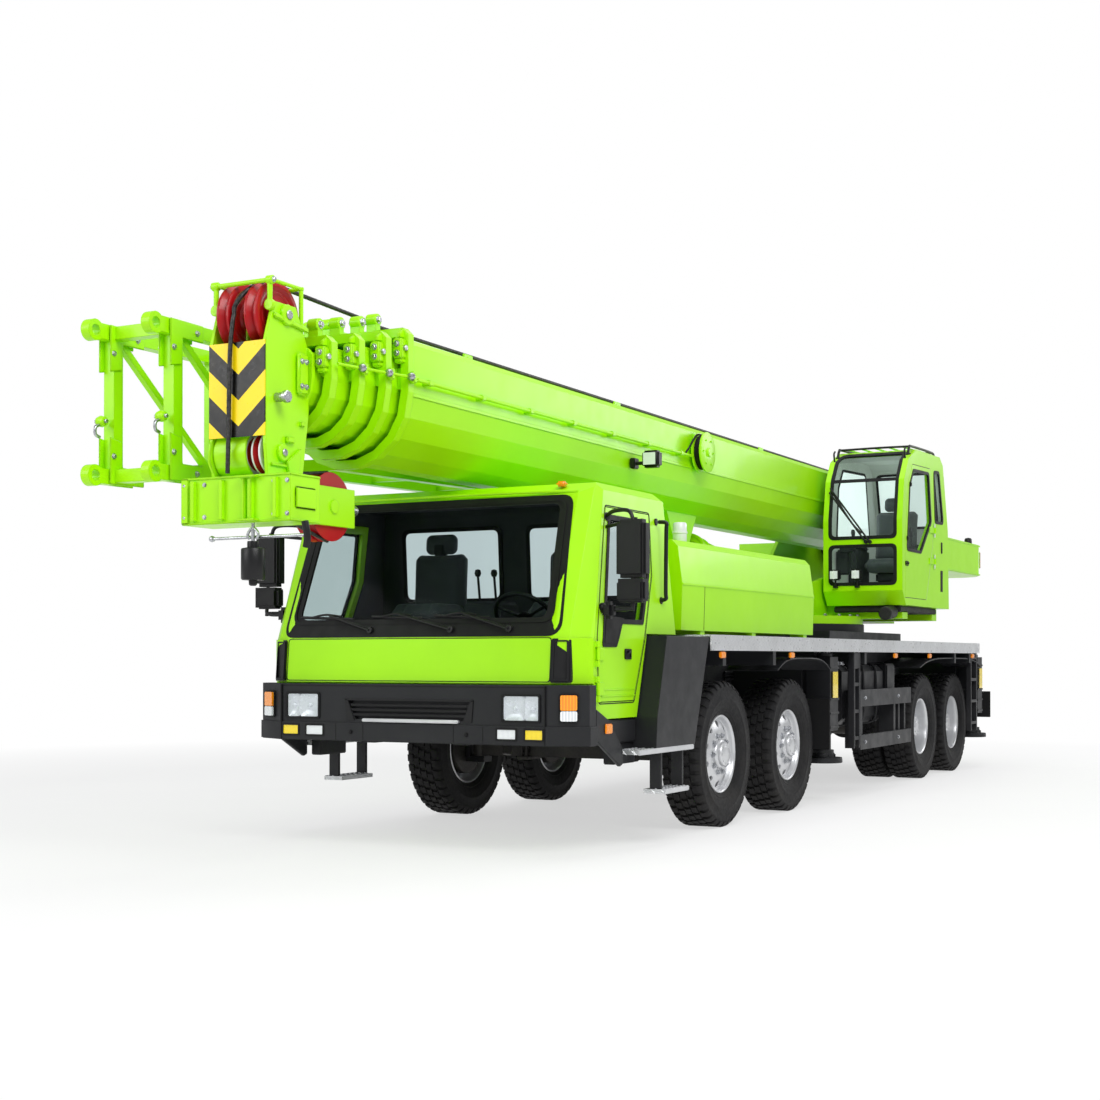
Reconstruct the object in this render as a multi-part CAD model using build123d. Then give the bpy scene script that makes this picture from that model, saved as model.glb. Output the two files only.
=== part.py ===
from build123d import *
import math
import os

# A four-axle truck crane with a five-section telescopic boom.
# Millimetres; X forward, Y to the crane's left, Z up, ground at Z = 0.
# Lengths along the crane are counted from the first axle.

# Overall reach ahead of and behind the first axle
FRONT_REACH = 4250.0
TAIL_L = 1550.0
REAR_REACH = 6750.0 + TAIL_L
AXLE_1_X = (REAR_REACH - FRONT_REACH) / 2

# Fits between pieces
SEAT = 0.4
PIN_GAP = 0.3

# Wheels and axles
TYRE_R = 538.0
TYRE_W = 300.0
RIM_R = 290.0
AXLE_2 = -1450.0
AXLE_3 = -5560.0
AXLE_4 = -6830.0
STEER_TYRE_Y = 1080.0
TWIN_Y = 885.0
TWIN_PITCH = 334.0
KINGPIN_Y = 860.0
KINGPIN_R = 28.0
SPINDLE_R = 45.0
HUB_R = 60.0

# Chassis frame
RAIL_IN = 300.0
RAIL_OUT = 400.0
FRAME_BOTTOM = 780.0
FRAME_TOP = 1240.0
NOSE_START = 1400.0
NOSE_BOTTOM = 690.0
NOSE_TOP = 845.0
BOX_FRONT = -1950.0
FRAME_REAR = -7990.0
PLATE = 15.0

# Deck
DECK_Y = 1362.0
DECK_TOP = 1410.0
DECK_EDGE = 112.0
DECK_SKIN = 12.0
DECK_FRONT = 600.0
DECK_REAR = -7300.0

# Driver's cab
CAB_HALF = 1220.0
CAB_TOP_HALF = 1150.0
CAB_WALL = 50.0
CAB_FLOOR = 860.0
CAB_WAIST = 1370.0
CAB_ROOF = 2370.0
CAB_NOSE = 2350.0
CAB_BROW = 1985.0
CAB_BACK = 900.0
GLASS_IN = 16.0
GLASS_T = 10.0
DOOR_GAP = 6.0

# Bumper
BUMPER_FRONT = 2400.0
BUMPER_BOTTOM = 700.0
BUMPER_TOP = 1077.0
BUMPER_WALL = 65.0
BUMPER_FACE = 1020.0
BUMPER_SIDE = 1250.0

# Slewing superstructure
SLEW_X = -4600.0
PLATFORM_TOP = 1500.0
RING_R = 820.0
RING_TOP = 1580.0
BED_TOP = 1660.0
CHEEK_IN = 430.0
CHEEK_T = 40.0
CHEEK_REAR = 250.0 - REAR_REACH
BED_REAR = -7000.0
TAIL_UNDER = 2120.0
PIVOT_X = -6500.0
PIVOT_Z = 2850.0
PIVOT_R = 80.0

# Boom
BOOM_HALF = 400.0
BOOM_RISE = 340.0
BOOM_AXIS = 2830.0
BOOM_STEP = 45.0
BOOM_WALL = 10.0
BOOM_EDGE = 40.0
BOOM_REAR = -6750.0
BASE_FRONT = 3090.0
COLLAR = 60.0
COLLAR_GROW = 45.0
SECTION_FRONT = (BASE_FRONT, 3260.0, 3470.0, 3680.0, 3760.0)
SECTION_REAR = (BOOM_REAR, -6300.0, -6200.0, -6100.0, -6000.0)

# Luffing cylinder
FOOT_X = -5200.0
FOOT_Z = 1840.0
EYE_X = -1600.0
EYE_Z = 2265.0
BARREL_R = 140.0
ROD_R = 95.0
ROD_STUB = 575.0
ROD_IN = 700.0

# Outriggers
FRONT_LEG_X = -2450.0
REAR_LEG_X = -7720.0
BEAM_W = 190.0
BEAM_H = 270.0
BEAM_PITCH = 122.0
LEG_BOX_HALF = 1050.0
LEG_BOX_LOW = 900.0
JACK_Y = 1185.0
JACK_R = 75.0
PAD_R = 170.0
PAD_BOTTOM = 345.0

# Operator's cab
OP_IN = 505.0
OP_OUT = 1305.0
OP_FLOOR = 1765.0
OP_WALL = 45.0


def ax(d):
    """X of a point d ahead of the first axle."""
    return AXLE_1_X + d


def union(*pieces):
    """One body of all the pieces."""
    return Part() + list(pieces)


def both(piece):
    """The piece and its mirror image across the middle of the crane."""
    return [piece, mirror(piece, about=Plane.XZ)]


def box(x0, x1, y0, y1, z0, z1):
    """Box between two corners."""
    size = Box(abs(x1 - x0), abs(y1 - y0), abs(z1 - z0))
    return Pos(ax((x0 + x1) / 2), (y0 + y1) / 2, (z0 + z1) / 2) * size


def slab_y(points, y0, y1):
    """Side outline of (x, z) points, given a thickness across the crane."""
    face = make_face(Polyline([(ax(x), y0, z) for x, z in points], close=True))
    return extrude(face, amount=y1 - y0, dir=(0, 1, 0))


def slab_x(points, x0, x1):
    """Front outline of (y, z) points, given a length along the crane."""
    face = make_face(Polyline([(ax(x0), y, z) for y, z in points], close=True))
    return extrude(face, amount=x1 - x0, dir=(1, 0, 0))


def slab_z(points, z0, z1, lean=0.0):
    """Plan outline of (x, y) points, given a height; lean moves its top along X."""
    face = make_face(Polyline([(ax(x), y, z0) for x, y in points], close=True))
    rise = math.hypot(lean, z1 - z0)
    return extrude(face, amount=rise, dir=(lean / rise, 0, (z1 - z0) / rise))


def rod(start, end, radius):
    """Round bar between two points."""
    a = Vector(ax(start[0]), start[1], start[2])
    b = Vector(ax(end[0]), end[1], end[2])
    return Solid.make_cylinder(radius, (b - a).length, Plane(a, z_dir=b - a))


def turned(profile, x, y, z):
    """Body turned about a crossways axis, from (radius, offset) points."""
    face = make_face(Polyline([(r, side, 0) for r, side in profile], close=True))
    return Pos(ax(x), y, z) * revolve(face, axis=Axis.Y)


def inset(points, depth):
    """Outline moved inwards by depth."""
    count = len(points)
    area = 0.0
    for i in range(count):
        (x0, y0), (x1, y1) = points[i], points[(i + 1) % count]
        area += x0 * y1 - x1 * y0
    turn = 1.0 if area > 0 else -1.0
    lines = []
    for i in range(count):
        (x0, y0), (x1, y1) = points[i], points[(i + 1) % count]
        run = math.hypot(x1 - x0, y1 - y0)
        dx, dy = (x1 - x0) / run, (y1 - y0) / run
        lines.append((x0 - turn * dy * depth, y0 + turn * dx * depth, dx, dy))
    moved = []
    for i in range(count):
        x0, y0, dx0, dy0 = lines[i - 1]
        x1, y1, dx1, dy1 = lines[i]
        cross = dx0 * dy1 - dy0 * dx1
        t = ((x1 - x0) * dy1 - (y1 - y0) * dx1) / cross
        moved.append((x0 + t * dx0, y0 + t * dy0))
    return moved


nodes = {}


# Chassis frame with its outrigger boxes, turntable platform and tanks
def chassis_frame():
    rail = slab_x(
        [
            (RAIL_OUT, FRAME_BOTTOM),
            (RAIL_OUT, FRAME_TOP),
            (RAIL_IN, FRAME_TOP),
            (RAIL_IN, FRAME_TOP - PLATE),
            (RAIL_OUT - PLATE, FRAME_TOP - PLATE),
            (RAIL_OUT - PLATE, FRAME_BOTTOM + PLATE),
            (RAIL_IN, FRAME_BOTTOM + PLATE),
            (RAIL_IN, FRAME_BOTTOM),
        ],
        BOX_FRONT - 5,
        NOSE_START,
    )
    nose = box(NOSE_START - 60, BUMPER_FRONT - BUMPER_WALL, RAIL_IN, RAIL_OUT, NOSE_BOTTOM, NOSE_TOP)
    riser = box(NOSE_START - 60, NOSE_START, RAIL_IN, RAIL_OUT, NOSE_BOTTOM, FRAME_TOP)
    mounts = [
        box(x - 60, x + 60, RAIL_IN, RAIL_OUT, NOSE_TOP - 5, CAB_FLOOR) for x in (1720.0, 2120.0)
    ]
    frame = box(FRAME_REAR, BOX_FRONT, -RAIL_OUT, RAIL_OUT, FRAME_BOTTOM, FRAME_TOP)
    hollow = box(
        FRAME_REAR - 5,
        BOX_FRONT - PLATE,
        PLATE - RAIL_OUT,
        RAIL_OUT - PLATE,
        FRAME_BOTTOM + PLATE,
        FRAME_TOP - PLATE,
    )
    crossbars = [
        box(x - 40, x + 40, 5 - RAIL_OUT, RAIL_OUT - 5, z0, z1)
        for x, z0, z1 in ((1370.0, 800.0, 1000.0), (900.0, 800.0, 960.0), (-1720.0, 900.0, 1200.0))
    ]
    platform = box(SLEW_X - 1150, SLEW_X + 1200, -900, 900, FRAME_TOP - 40, PLATFORM_TOP)
    under = box(
        SLEW_X - 1150 + PLATE,
        SLEW_X + 1200 - PLATE,
        PLATE - 900,
        900 - PLATE,
        FRAME_TOP - 45,
        PLATFORM_TOP - PLATE,
    ) - box(FRAME_REAR, BOX_FRONT, -RAIL_OUT, RAIL_OUT, FRAME_BOTTOM, FRAME_TOP)
    body = union(frame, platform) - hollow - under
    ring = rod((SLEW_X, 0, PLATFORM_TOP - 5), (SLEW_X, 0, RING_TOP), RING_R)
    ring -= rod((SLEW_X, 0, PLATFORM_TOP - 6), (SLEW_X, 0, RING_TOP + 1), RING_R - 110)
    leg_boxes = []
    bores = []
    beam_top = LEG_BOX_LOW + BEAM_H
    for x in (FRONT_LEG_X, REAR_LEG_X):
        half = BEAM_PITCH + BEAM_W / 2 + 25 + PLATE
        leg_boxes.append(
            box(x - half, x + half, -LEG_BOX_HALF, LEG_BOX_HALF, LEG_BOX_LOW - PLATE, beam_top + 30 + PLATE)
        )
        for side in (-1, 1):
            centre = x + side * BEAM_PITCH
            bores.append(
                box(
                    centre - BEAM_W / 2 - 18,
                    centre + BEAM_W / 2 + 18,
                    -LEG_BOX_HALF - 5,
                    LEG_BOX_HALF + 5,
                    LEG_BOX_LOW - SEAT,
                    beam_top + 30,
                )
            )
    arms = []
    for x in (330.0, -700.0, -3050.0, -6250.0, -6900.0):
        arms.append(box(x - 30, x + 30, RAIL_OUT - 10, DECK_Y - DECK_SKIN, 1190, DECK_TOP - DECK_SKIN))
    arms.append(box(1000, 1080, RAIL_OUT - 10, 1310, 1180, FRAME_TOP - 5))
    tank = slab_x(
        [
            (470, 640),
            (1090, 640),
            (1150, 700),
            (1150, 1120),
            (1090, 1180),
            (470, 1180),
        ],
        -4250,
        -2980,
    )
    tank_straps = [box(x - 40, x + 40, RAIL_OUT - 5, 475, 800, 1100) for x in (-3900.0, -3300.0)]
    left = union(rail, nose, riser, tank, *mounts, *arms, *tank_straps)
    whole = union(body, ring, left, mirror(left, about=Plane.XZ), *crossbars, *leg_boxes)
    for bore in bores:
        whole -= bore
    return whole


nodes["chassis_frame"] = chassis_frame()


# Axle beams with their leaf springs, and the rear bogie
def leaf_spring(x, reach, y0, y1, low):
    top = FRAME_BOTTOM
    stack = slab_y(
        [
            (x - reach, top - 90),
            (x - reach, top - 40),
            (x, low + 90),
            (x + reach, top - 40),
            (x + reach, top - 90),
            (x, low),
        ],
        y0,
        y1,
    )
    hangers = [box(d - 45, d + 45, RAIL_IN + 20, y1, top - 100, top) for d in (x - reach, x + reach)]
    return union(stack, *hangers)


def steer_axle(x):
    beam = box(x - 55, x + 55, -KINGPIN_Y + 40, KINGPIN_Y - 40, TYRE_R - 62, TYRE_R + 62)
    eye = rod((x, KINGPIN_Y, TYRE_R - 70), (x, KINGPIN_Y, TYRE_R + 70), 62)
    hole = rod((x, KINGPIN_Y, TYRE_R - 80), (x, KINGPIN_Y, TYRE_R + 80), KINGPIN_R + PIN_GAP)
    spring = leaf_spring(x, 620, 385, 455, TYRE_R + 20)
    axle = union(beam, *both(eye), *both(spring))
    for cut in both(hole):
        axle -= cut
    return axle


def bogie():
    pieces = []
    for x in (AXLE_3, AXLE_4):
        pieces.append(rod((x, -540, TYRE_R), (x, 540, TYRE_R), 95))
        pieces.append(rod((x, -985, TYRE_R), (x, 985, TYRE_R), HUB_R))
        pieces.append(rod((x - 150, 0, TYRE_R), (x + 200, 0, TYRE_R), 190))
    middle = (AXLE_3 + AXLE_4) / 2
    trunnion = slab_y(
        [
            (AXLE_4 - 90, TYRE_R + 40),
            (AXLE_4 - 90, TYRE_R + 120),
            (middle - 130, FRAME_BOTTOM),
            (middle + 130, FRAME_BOTTOM),
            (AXLE_3 + 90, TYRE_R + 120),
            (AXLE_3 + 90, TYRE_R + 40),
        ],
        330,
        500,
    )
    return union(*pieces, *both(trunnion))


nodes["axles"] = Compound(children=[steer_axle(0.0), steer_axle(AXLE_2), bogie()])


# Steering knuckles
def knuckle(x, side):
    y = side * KINGPIN_Y
    upper = box(x - 60, x + 60, y - side * 62, y + side * 105, TYRE_R + 71, TYRE_R + 116)
    lower = box(x - 60, x + 60, y - side * 62, y + side * 105, TYRE_R - 116, TYRE_R - 71)
    web = box(x - 60, x + 60, y + side * 72, y + side * 105, TYRE_R - 116, TYRE_R + 116)
    pin = rod((x, y, TYRE_R - 116), (x, y, TYRE_R + 116), KINGPIN_R)
    spindle = rod((x, y + side * 100, TYRE_R), (x, y + side * 262, TYRE_R), SPINDLE_R)
    return union(upper, lower, web, pin, spindle)


# Road wheels
def tyre(x, y):
    half = TYRE_W / 2
    seat = RIM_R + PIN_GAP
    profile = [
        (seat, -half * 0.70),
        (TYRE_R * 0.70, -half * 0.97),
        (TYRE_R * 0.86, -half),
        (TYRE_R * 0.97, -half * 0.90),
        (TYRE_R, -half * 0.66),
        (TYRE_R, half * 0.66),
        (TYRE_R * 0.97, half * 0.90),
        (TYRE_R * 0.86, half),
        (TYRE_R * 0.70, half * 0.97),
        (seat, half * 0.70),
    ]
    return turned(profile, x, y, TYRE_R)


def rim(x, y, side, bore, hub_in, hub_out, face_in, cap):
    """Rim whose disc stands off its middle; side is +1 where out is towards +Y."""
    flange = TYRE_W * 0.36
    outer = [
        (bore, hub_in),
        (hub_out, hub_in),
        (hub_out, face_in),
        (RIM_R - 55, face_in + 20),
        (RIM_R - 30, face_in - 30),
        (RIM_R - 30, -flange),
        (RIM_R, -flange),
        (RIM_R, flange),
        (RIM_R - 22, flange),
        (RIM_R - 22, face_in + 25),
        (RIM_R - 70, face_in + 45),
        (hub_out + 30, face_in + 22),
        (hub_out * 0.75, cap),
        (bore, cap),
    ]
    return turned([(r, side * d) for r, d in outer], x, y, TYRE_R)


def hub_cap(x, y, side, bore, start, end):
    """Round cover over the outer end of a hub."""
    return rod((x, y + side * start, TYRE_R), (x, y + side * end, TYRE_R), bore)


SIDES = (("left", 1), ("right", -1))
for number, axle in ((1, 0.0), (2, AXLE_2)):
    for name, side in SIDES:
        y = side * STEER_TYRE_Y
        nodes[f"knuckle_{number}_{name}"] = knuckle(axle, side)
        nodes[f"tyre_{number}_{name}"] = tyre(axle, y)
        wheel = rim(axle, y, side, SPINDLE_R + PIN_GAP, -100, 130, 40, 135)
        cover = hub_cap(axle, y, side, 90, 100, 150)
        nodes[f"rim_{number}_{name}"] = union(wheel, cover)
for number, axle in ((3, AXLE_3), (4, AXLE_4)):
    for name, side in SIDES:
        outer = side * (TWIN_Y + TWIN_PITCH / 2)
        inner = side * (TWIN_Y - TWIN_PITCH / 2)
        nodes[f"tyre_{number}_{name}"] = Compound(children=[tyre(axle, inner), tyre(axle, outer)])
        near = rim(axle, inner, side, HUB_R + PIN_GAP, 60, 130, 85, 166)
        far = rim(axle, outer, -side, HUB_R + PIN_GAP, 60, 130, 85, 167)
        cover = hub_cap(axle, outer, side, 105, -60, 70)
        bore = hub_cap(axle, outer, side, HUB_R + PIN_GAP, -70, 985 - abs(outer) + PIN_GAP)
        nodes[f"rim_{number}_{name}"] = union(near, far, cover) - bore


# Engine, gearbox and propeller shaft
engine = box(-750, 650, -270, 270, 900, 1880)
gearbox = box(-1500, -700, -190, 190, 645, 1150)
shaft = rod((-1480, 0, 700), (AXLE_3 + 202, 0, TYRE_R + 25), 45)
feet = [
    box(x - 50, x + 50, y0, y1, 1000, 1060)
    for x in (450.0, -550.0)
    for y0, y1 in ((260, RAIL_OUT - PLATE - SEAT), (SEAT + PLATE - RAIL_OUT, -260))
]
nodes["powertrain"] = union(engine, gearbox, shaft, *feet)


# Engine hood
def engine_hood():
    outline = [
        (-1190, 1440),
        (1190, 1440),
        (1200, 1767),
        (1165, 2030),
        (1120, 2078),
        (-1120, 2078),
        (-1165, 2030),
        (-1200, 1767),
    ]
    rear, front = -2070, 740
    shell = slab_x(outline, rear, front)
    wall = 30
    inner = inset(outline, wall)
    inner[0] = (inner[0][0], 1430)
    inner[1] = (inner[1][0], 1430)
    shell -= slab_x(inner, rear + wall, front - wall)
    feet = [
        box(x - 40, x + 40, 1060, 1180, DECK_TOP, 1470) for x in (330.0, -700.0, -1900.0)
    ]
    feet += [box(x - 40, x + 40, -1180, -1060, DECK_TOP, 1470) for x in (330.0, -700.0, -1900.0)]
    return union(shell, *feet)


nodes["engine_hood"] = engine_hood()


# Walkway decks with their edge strips, the cab steps and rear ladders
def deck():
    plate = box(DECK_REAR, DECK_FRONT, 905, DECK_Y, DECK_TOP - DECK_SKIN, DECK_TOP)
    edge = box(DECK_REAR, DECK_FRONT, DECK_Y - DECK_SKIN, DECK_Y, DECK_TOP - DECK_EDGE, DECK_TOP)
    return union(plate, edge)


STEP_TOP = 655.0


def cab_steps():
    upper = box(930, 1810, 1180, DECK_Y, STEP_TOP - 28, STEP_TOP)
    lower = box(1015, 1415, 1210, DECK_Y, 352, 380)
    hangers = [box(x - 12, x + 12, 1250, 1330, 360, STEP_TOP - 20) for x in (1040.0, 1390.0)]
    return union(upper, lower, *hangers)


def ladder(x0, x1, low, high, rungs):
    y0, y1 = DECK_Y - 70, DECK_Y - 20
    sides = [box(x - 15, x + 15, y0, y1, low, high) for x in (x0, x1)]
    steps = [
        box(x0, x1, y0, y1, low + (i + 0.3) * (high - low) / rungs, low + (i + 0.3) * (high - low) / rungs + 30)
        for i in range(rungs)
    ]
    return union(*sides, *steps)


walk = [
    union(deck(), ladder(-2890, -2740, 450, DECK_TOP - DECK_SKIN + 2, 4),
          ladder(-7240, -6990, 440, DECK_TOP - DECK_SKIN + 2, 4)),
    cab_steps(),
]
nodes["deck_and_steps"] = Compound(children=[piece for part in walk for piece in both(part)])


# Side guard rails and front mudguards
def mudguard():
    outline = [(640, 1392), (900, STEP_TOP + SEAT), (1540, STEP_TOP + SEAT), (1520, 860), (1365, 1392)]
    shell = slab_y(outline, 640, DECK_Y - 2)
    room = [(600, 1350), (600, 600), (1480, 600), (1470, 850), (1330, 1350)]
    return shell - slab_y(room, 600, 1310 + SEAT)


def side_guard():
    rails = [box(-4600, -2960, 1290, 1330, z0, z1) for z0, z1 in ((810, 960), (425, 555))]
    posts = [box(x - 30, x + 30, 1150, 1295, 430, 955) for x in (-4150.0, -3100.0)]
    return union(*rails, *posts)


nodes["guards"] = Compound(children=both(mudguard()) + both(side_guard()))


# Front bumper, with recesses for the grille and lamps
HEADLAMP = (700.0, 960.0, 852.0, 1012.0)
FOG_LAMPS = ((660.0, 800.0, 735.0, 803.0), (860.0, 990.0, 735.0, 803.0))
GRILLE = (470.0, 845.0, 970.0)


def front_bumper():
    back = BUMPER_FRONT - 200
    outline = [
        (back, -BUMPER_SIDE),
        (BUMPER_FRONT - 110, -BUMPER_SIDE),
        (BUMPER_FRONT, -BUMPER_FACE),
        (BUMPER_FRONT, BUMPER_FACE),
        (BUMPER_FRONT - 110, BUMPER_SIDE),
        (back, BUMPER_SIDE),
    ]
    inner = inset(outline, BUMPER_WALL)
    for i in (0, -1):
        inner[i] = (back - 50, inner[i][1])
    skin = slab_z(outline, BUMPER_BOTTOM, BUMPER_TOP)
    skin -= slab_z(inner, BUMPER_BOTTOM - 5, BUMPER_TOP + 5)
    half, low, high = GRILLE
    recess = slab_x(
        [(-half + 60, low), (half - 60, low), (half, high), (-half, high)],
        BUMPER_FRONT - 30,
        BUMPER_FRONT + 5,
    )
    skin -= recess
    pitch = (high - low) / 4
    slats = [
        box(BUMPER_FRONT - 40, BUMPER_FRONT - 4, -half + 20, half - 20, low + pitch * i - 9, low + pitch * i + 9)
        & slab_x([(-half + 55, low - 9), (half - 55, low - 9), (half + 5, high), (-half - 5, high)],
                 BUMPER_FRONT - 40, BUMPER_FRONT)
        for i in (1, 2, 3)
    ]
    for y0, y1, z0, z1 in (HEADLAMP, *FOG_LAMPS):
        for pocket in both(box(BUMPER_FRONT - 30, BUMPER_FRONT + 5, y0, y1, z0, z1)):
            skin -= pocket
    return union(skin, *slats)


nodes["front_bumper"] = front_bumper()


def lamps():
    pieces = []
    for y0, y1, z0, z1 in (HEADLAMP, *FOG_LAMPS):
        pieces += both(
            box(BUMPER_FRONT - 30 + SEAT, BUMPER_FRONT + 8, y0 + SEAT, y1 - SEAT, z0 + SEAT, z1 - SEAT)
        )
    pieces += both(box(FRAME_REAR - 40, FRAME_REAR - SEAT, 290, 385, 900, 1060))
    return Compound(children=pieces)


nodes["lamps"] = lamps()


# Driver's cab
CAB_SIDE = [
    (CAB_NOSE - 180, CAB_FLOOR),
    (CAB_NOSE - 180, BUMPER_TOP + 8),
    (CAB_NOSE, BUMPER_TOP + 8),
    (CAB_NOSE - 25, CAB_WAIST),
    (CAB_BROW, CAB_ROOF - 70),
    (CAB_BROW - 90, CAB_ROOF),
    (CAB_BACK + 130, CAB_ROOF),
    (CAB_BACK + 60, CAB_ROOF - 60),
    (CAB_BACK, 1405),
    (CAB_BACK + 480, 1405),
    (CAB_BACK + 640, CAB_FLOOR),
]
CAB_FRONT = [
    (-CAB_HALF, CAB_FLOOR - 10),
    (CAB_HALF, CAB_FLOOR - 10),
    (CAB_HALF, CAB_WAIST),
    (CAB_TOP_HALF, CAB_ROOF - 50),
    (CAB_TOP_HALF - 60, CAB_ROOF + 10),
    (60 - CAB_TOP_HALF, CAB_ROOF + 10),
    (-CAB_TOP_HALF, CAB_ROOF - 50),
    (-CAB_HALF, CAB_WAIST),
]


def cab_plan(nose, half):
    return [
        (CAB_BACK - 50, -half - 40),
        (nose - 210, -half - 40),
        (nose - 150, -half + 20),
        (nose - 45, -half + 110),
        (nose, -half + 230),
        (nose, half - 230),
        (nose - 45, half - 110),
        (nose - 150, half - 20),
        (nose - 210, half + 40),
        (CAB_BACK - 50, half + 40),
    ]


def cab_body(depth):
    """The cab's outer form moved inwards by depth."""
    body = slab_y(inset(CAB_SIDE, depth), -CAB_HALF, CAB_HALF)
    body &= slab_x(inset(CAB_FRONT, depth), CAB_BACK - 20, CAB_NOSE + 20)
    lower = slab_z(inset(cab_plan(CAB_NOSE, CAB_HALF), depth), CAB_FLOOR - 20, CAB_WAIST)
    slope = (CAB_BROW - CAB_NOSE + 25) / (CAB_ROOF - 70 - CAB_WAIST)
    rise = CAB_ROOF + 40 - CAB_WAIST
    upper = slab_z(
        inset(cab_plan(CAB_NOSE - 15, CAB_HALF), depth), CAB_WAIST, CAB_WAIST + rise, slope * rise
    )
    return body & union(lower, upper)


WINDSCREEN = [(-985, 1475), (985, 1475), (945, 2262), (-945, 2262)]
DOOR = [(2100, 965), (2120, 1380), (1880, 2215), (1215, 2215), (1240, 1800), (1590, 965)]
DOOR_WINDOW = [(2040, 1330), (1840, 2150), (1290, 2150), (1300, 1800), (1440, 1480), (1760, 1480), (1860, 1330)]
HINGE_X = 2135.0
HINGE_Y = CAB_HALF + 14.0
HINGE_R = 13.0
HINGES = (1050.0, 1270.0)

cab_outer = cab_body(0)
cab_inner = cab_body(CAB_WALL)
cab_core = slab_x(inset(CAB_FRONT, CAB_WALL), CAB_BACK - 60, CAB_NOSE + 60)
cab_glass_layer = cab_body(GLASS_IN) - cab_body(GLASS_IN + GLASS_T)


def hinge_barrel(x, y, z0, z1, edge, end):
    """Hinge barrel with a leaf that is sunk in its panel from edge to end."""
    barrel = rod((x, y, z0), (x, y, z1), HINGE_R)
    leaf = box(min(x, end), max(x, end), y - HINGE_R - 0.5, y - 3, z0, z1)
    foot = box(min(edge, end), max(edge, end), y - HINGE_R - 8, y - 5, z0, z1)
    return union(barrel, leaf, foot)


def cab_shell():
    shell = cab_outer - cab_inner
    for side in (-1, 1):
        reach = sorted((side * 700, side * 1400))
        shell -= slab_y(DOOR, *reach) - cab_core
    shell -= slab_x(WINDSCREEN, 1700, CAB_NOSE + 50)
    leaves = []
    for z in HINGES:
        for z0, z1 in ((z - 81, z - 41), (z + 41, z + 81)):
            leaves += both(hinge_barrel(HINGE_X, HINGE_Y, z0, z1, HINGE_X, HINGE_X + 25))
    return union(shell, *leaves)


nodes["cab_shell"] = cab_shell()
nodes["cab_glass"] = cab_glass_layer & slab_x(inset(WINDSCREEN, SEAT), 1700, CAB_NOSE + 50)


def cab_door(side):
    reach = sorted((side * 700, side * 1400))
    slab = cab_outer & (slab_y(inset(DOOR, DOOR_GAP), *reach) - cab_core)
    slab -= slab_y(DOOR_WINDOW, *reach)
    pane = cab_glass_layer & slab_y(inset(DOOR_WINDOW, SEAT), *reach)
    barrels = []
    for z in HINGES:
        leaf = hinge_barrel(HINGE_X, HINGE_Y, z - 40, z + 40, HINGE_X - 50, HINGE_X - 90)
        barrels.append(leaf if side > 0 else mirror(leaf, about=Plane.XZ))
    arm_top = rod((1883, side * 1150, 2080), (1985, side * 1425, 2110), 11)
    arm_low = rod((2030, side * 1190, 1560), (2030, side * 1425, 1560), 11)
    post = rod((2030, side * 1420, 1540), (1985, side * 1420, 2125), 12)
    heads = [
        box(1960, 2045, side * 1320, side * 1500, 1770, 2085),
        box(1975, 2055, side * 1330, side * 1500, 1600, 1740),
    ]
    mirror_set = union(arm_top, arm_low, post, *heads)
    return Compound(children=[union(slab, *barrels, mirror_set), pane])


for name, side in SIDES:
    nodes[f"cab_door_{name}"] = cab_door(side)


def cab_interior():
    floor = 1405 + CAB_WALL
    pieces = []
    for y in (-560.0, 560.0):
        cushion = box(1030, 1440, y - 250, y + 250, floor + 40, floor + 170)
        base = box(1040, 1360, y - 180, y + 180, floor, floor + 60)
        back = slab_y(
            [(1030, floor + 120), (1140, floor + 120), (1120, 2170), (1040, 2170)], y - 240, y + 240
        )
        pieces.append(union(cushion, base, back))
    dash = slab_y(
        [(2080, 910.4), (2112, 910.4), (2112, 1140), (2240, 1140), (2235, 1400), (2060, 1420), (1990, 1300)],
        -1040,
        1040,
    )
    column = rod((2040, 560, 1330), (1850, 560, 1500), 28)
    wheel = Plane(
        origin=Vector(ax(1850), 560, 1500), z_dir=Vector(-190, 0, 170)
    ) * Torus(210, 16)
    spokes = box(1835, 1865, 360, 760, 1490, 1510)
    pieces.append(union(dash, column, wheel, spokes))
    return Compound(children=pieces)


nodes["cab_interior"] = cab_interior()


# Outrigger beams with their jack sleeves, and the jacks
def outrigger_beam(x, side):
    low = LEG_BOX_LOW
    tube = box(x - BEAM_W / 2, x + BEAM_W / 2, -side * 980, side * (JACK_Y - 60), low, low + BEAM_H)
    tube -= box(
        x - BEAM_W / 2 + 14,
        x + BEAM_W / 2 - 14,
        -side * 990,
        side * (LEG_BOX_HALF - 20),
        low + 14,
        low + BEAM_H - 14,
    )
    sleeve = box(x - 108, x + 108, side * (JACK_Y - 108), side * (JACK_Y + 108), 620, low + BEAM_H + 85)
    hole = rod((x, side * JACK_Y, 600), (x, side * JACK_Y, low + BEAM_H + 60), JACK_R + PIN_GAP)
    return union(tube, sleeve) - hole


def outrigger_jack(x, side):
    y = side * JACK_Y
    leg = rod((x, y, PAD_BOTTOM + 30), (x, y, LEG_BOX_LOW + BEAM_H + 40), JACK_R)
    collar = rod((x, y, PAD_BOTTOM + 30), (x, y, PAD_BOTTOM + 110), 100)
    pad = rod((x, y, PAD_BOTTOM), (x, y, PAD_BOTTOM + 45), PAD_R)
    return union(leg, collar, pad)


for place, leg_x in (("front", FRONT_LEG_X), ("rear", REAR_LEG_X)):
    for name, side in SIDES:
        centre = leg_x + side * BEAM_PITCH
        nodes[f"outrigger_beam_{place}_{name}"] = outrigger_beam(centre, side)
        nodes[f"outrigger_jack_{place}_{name}"] = outrigger_jack(centre, side)


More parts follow.
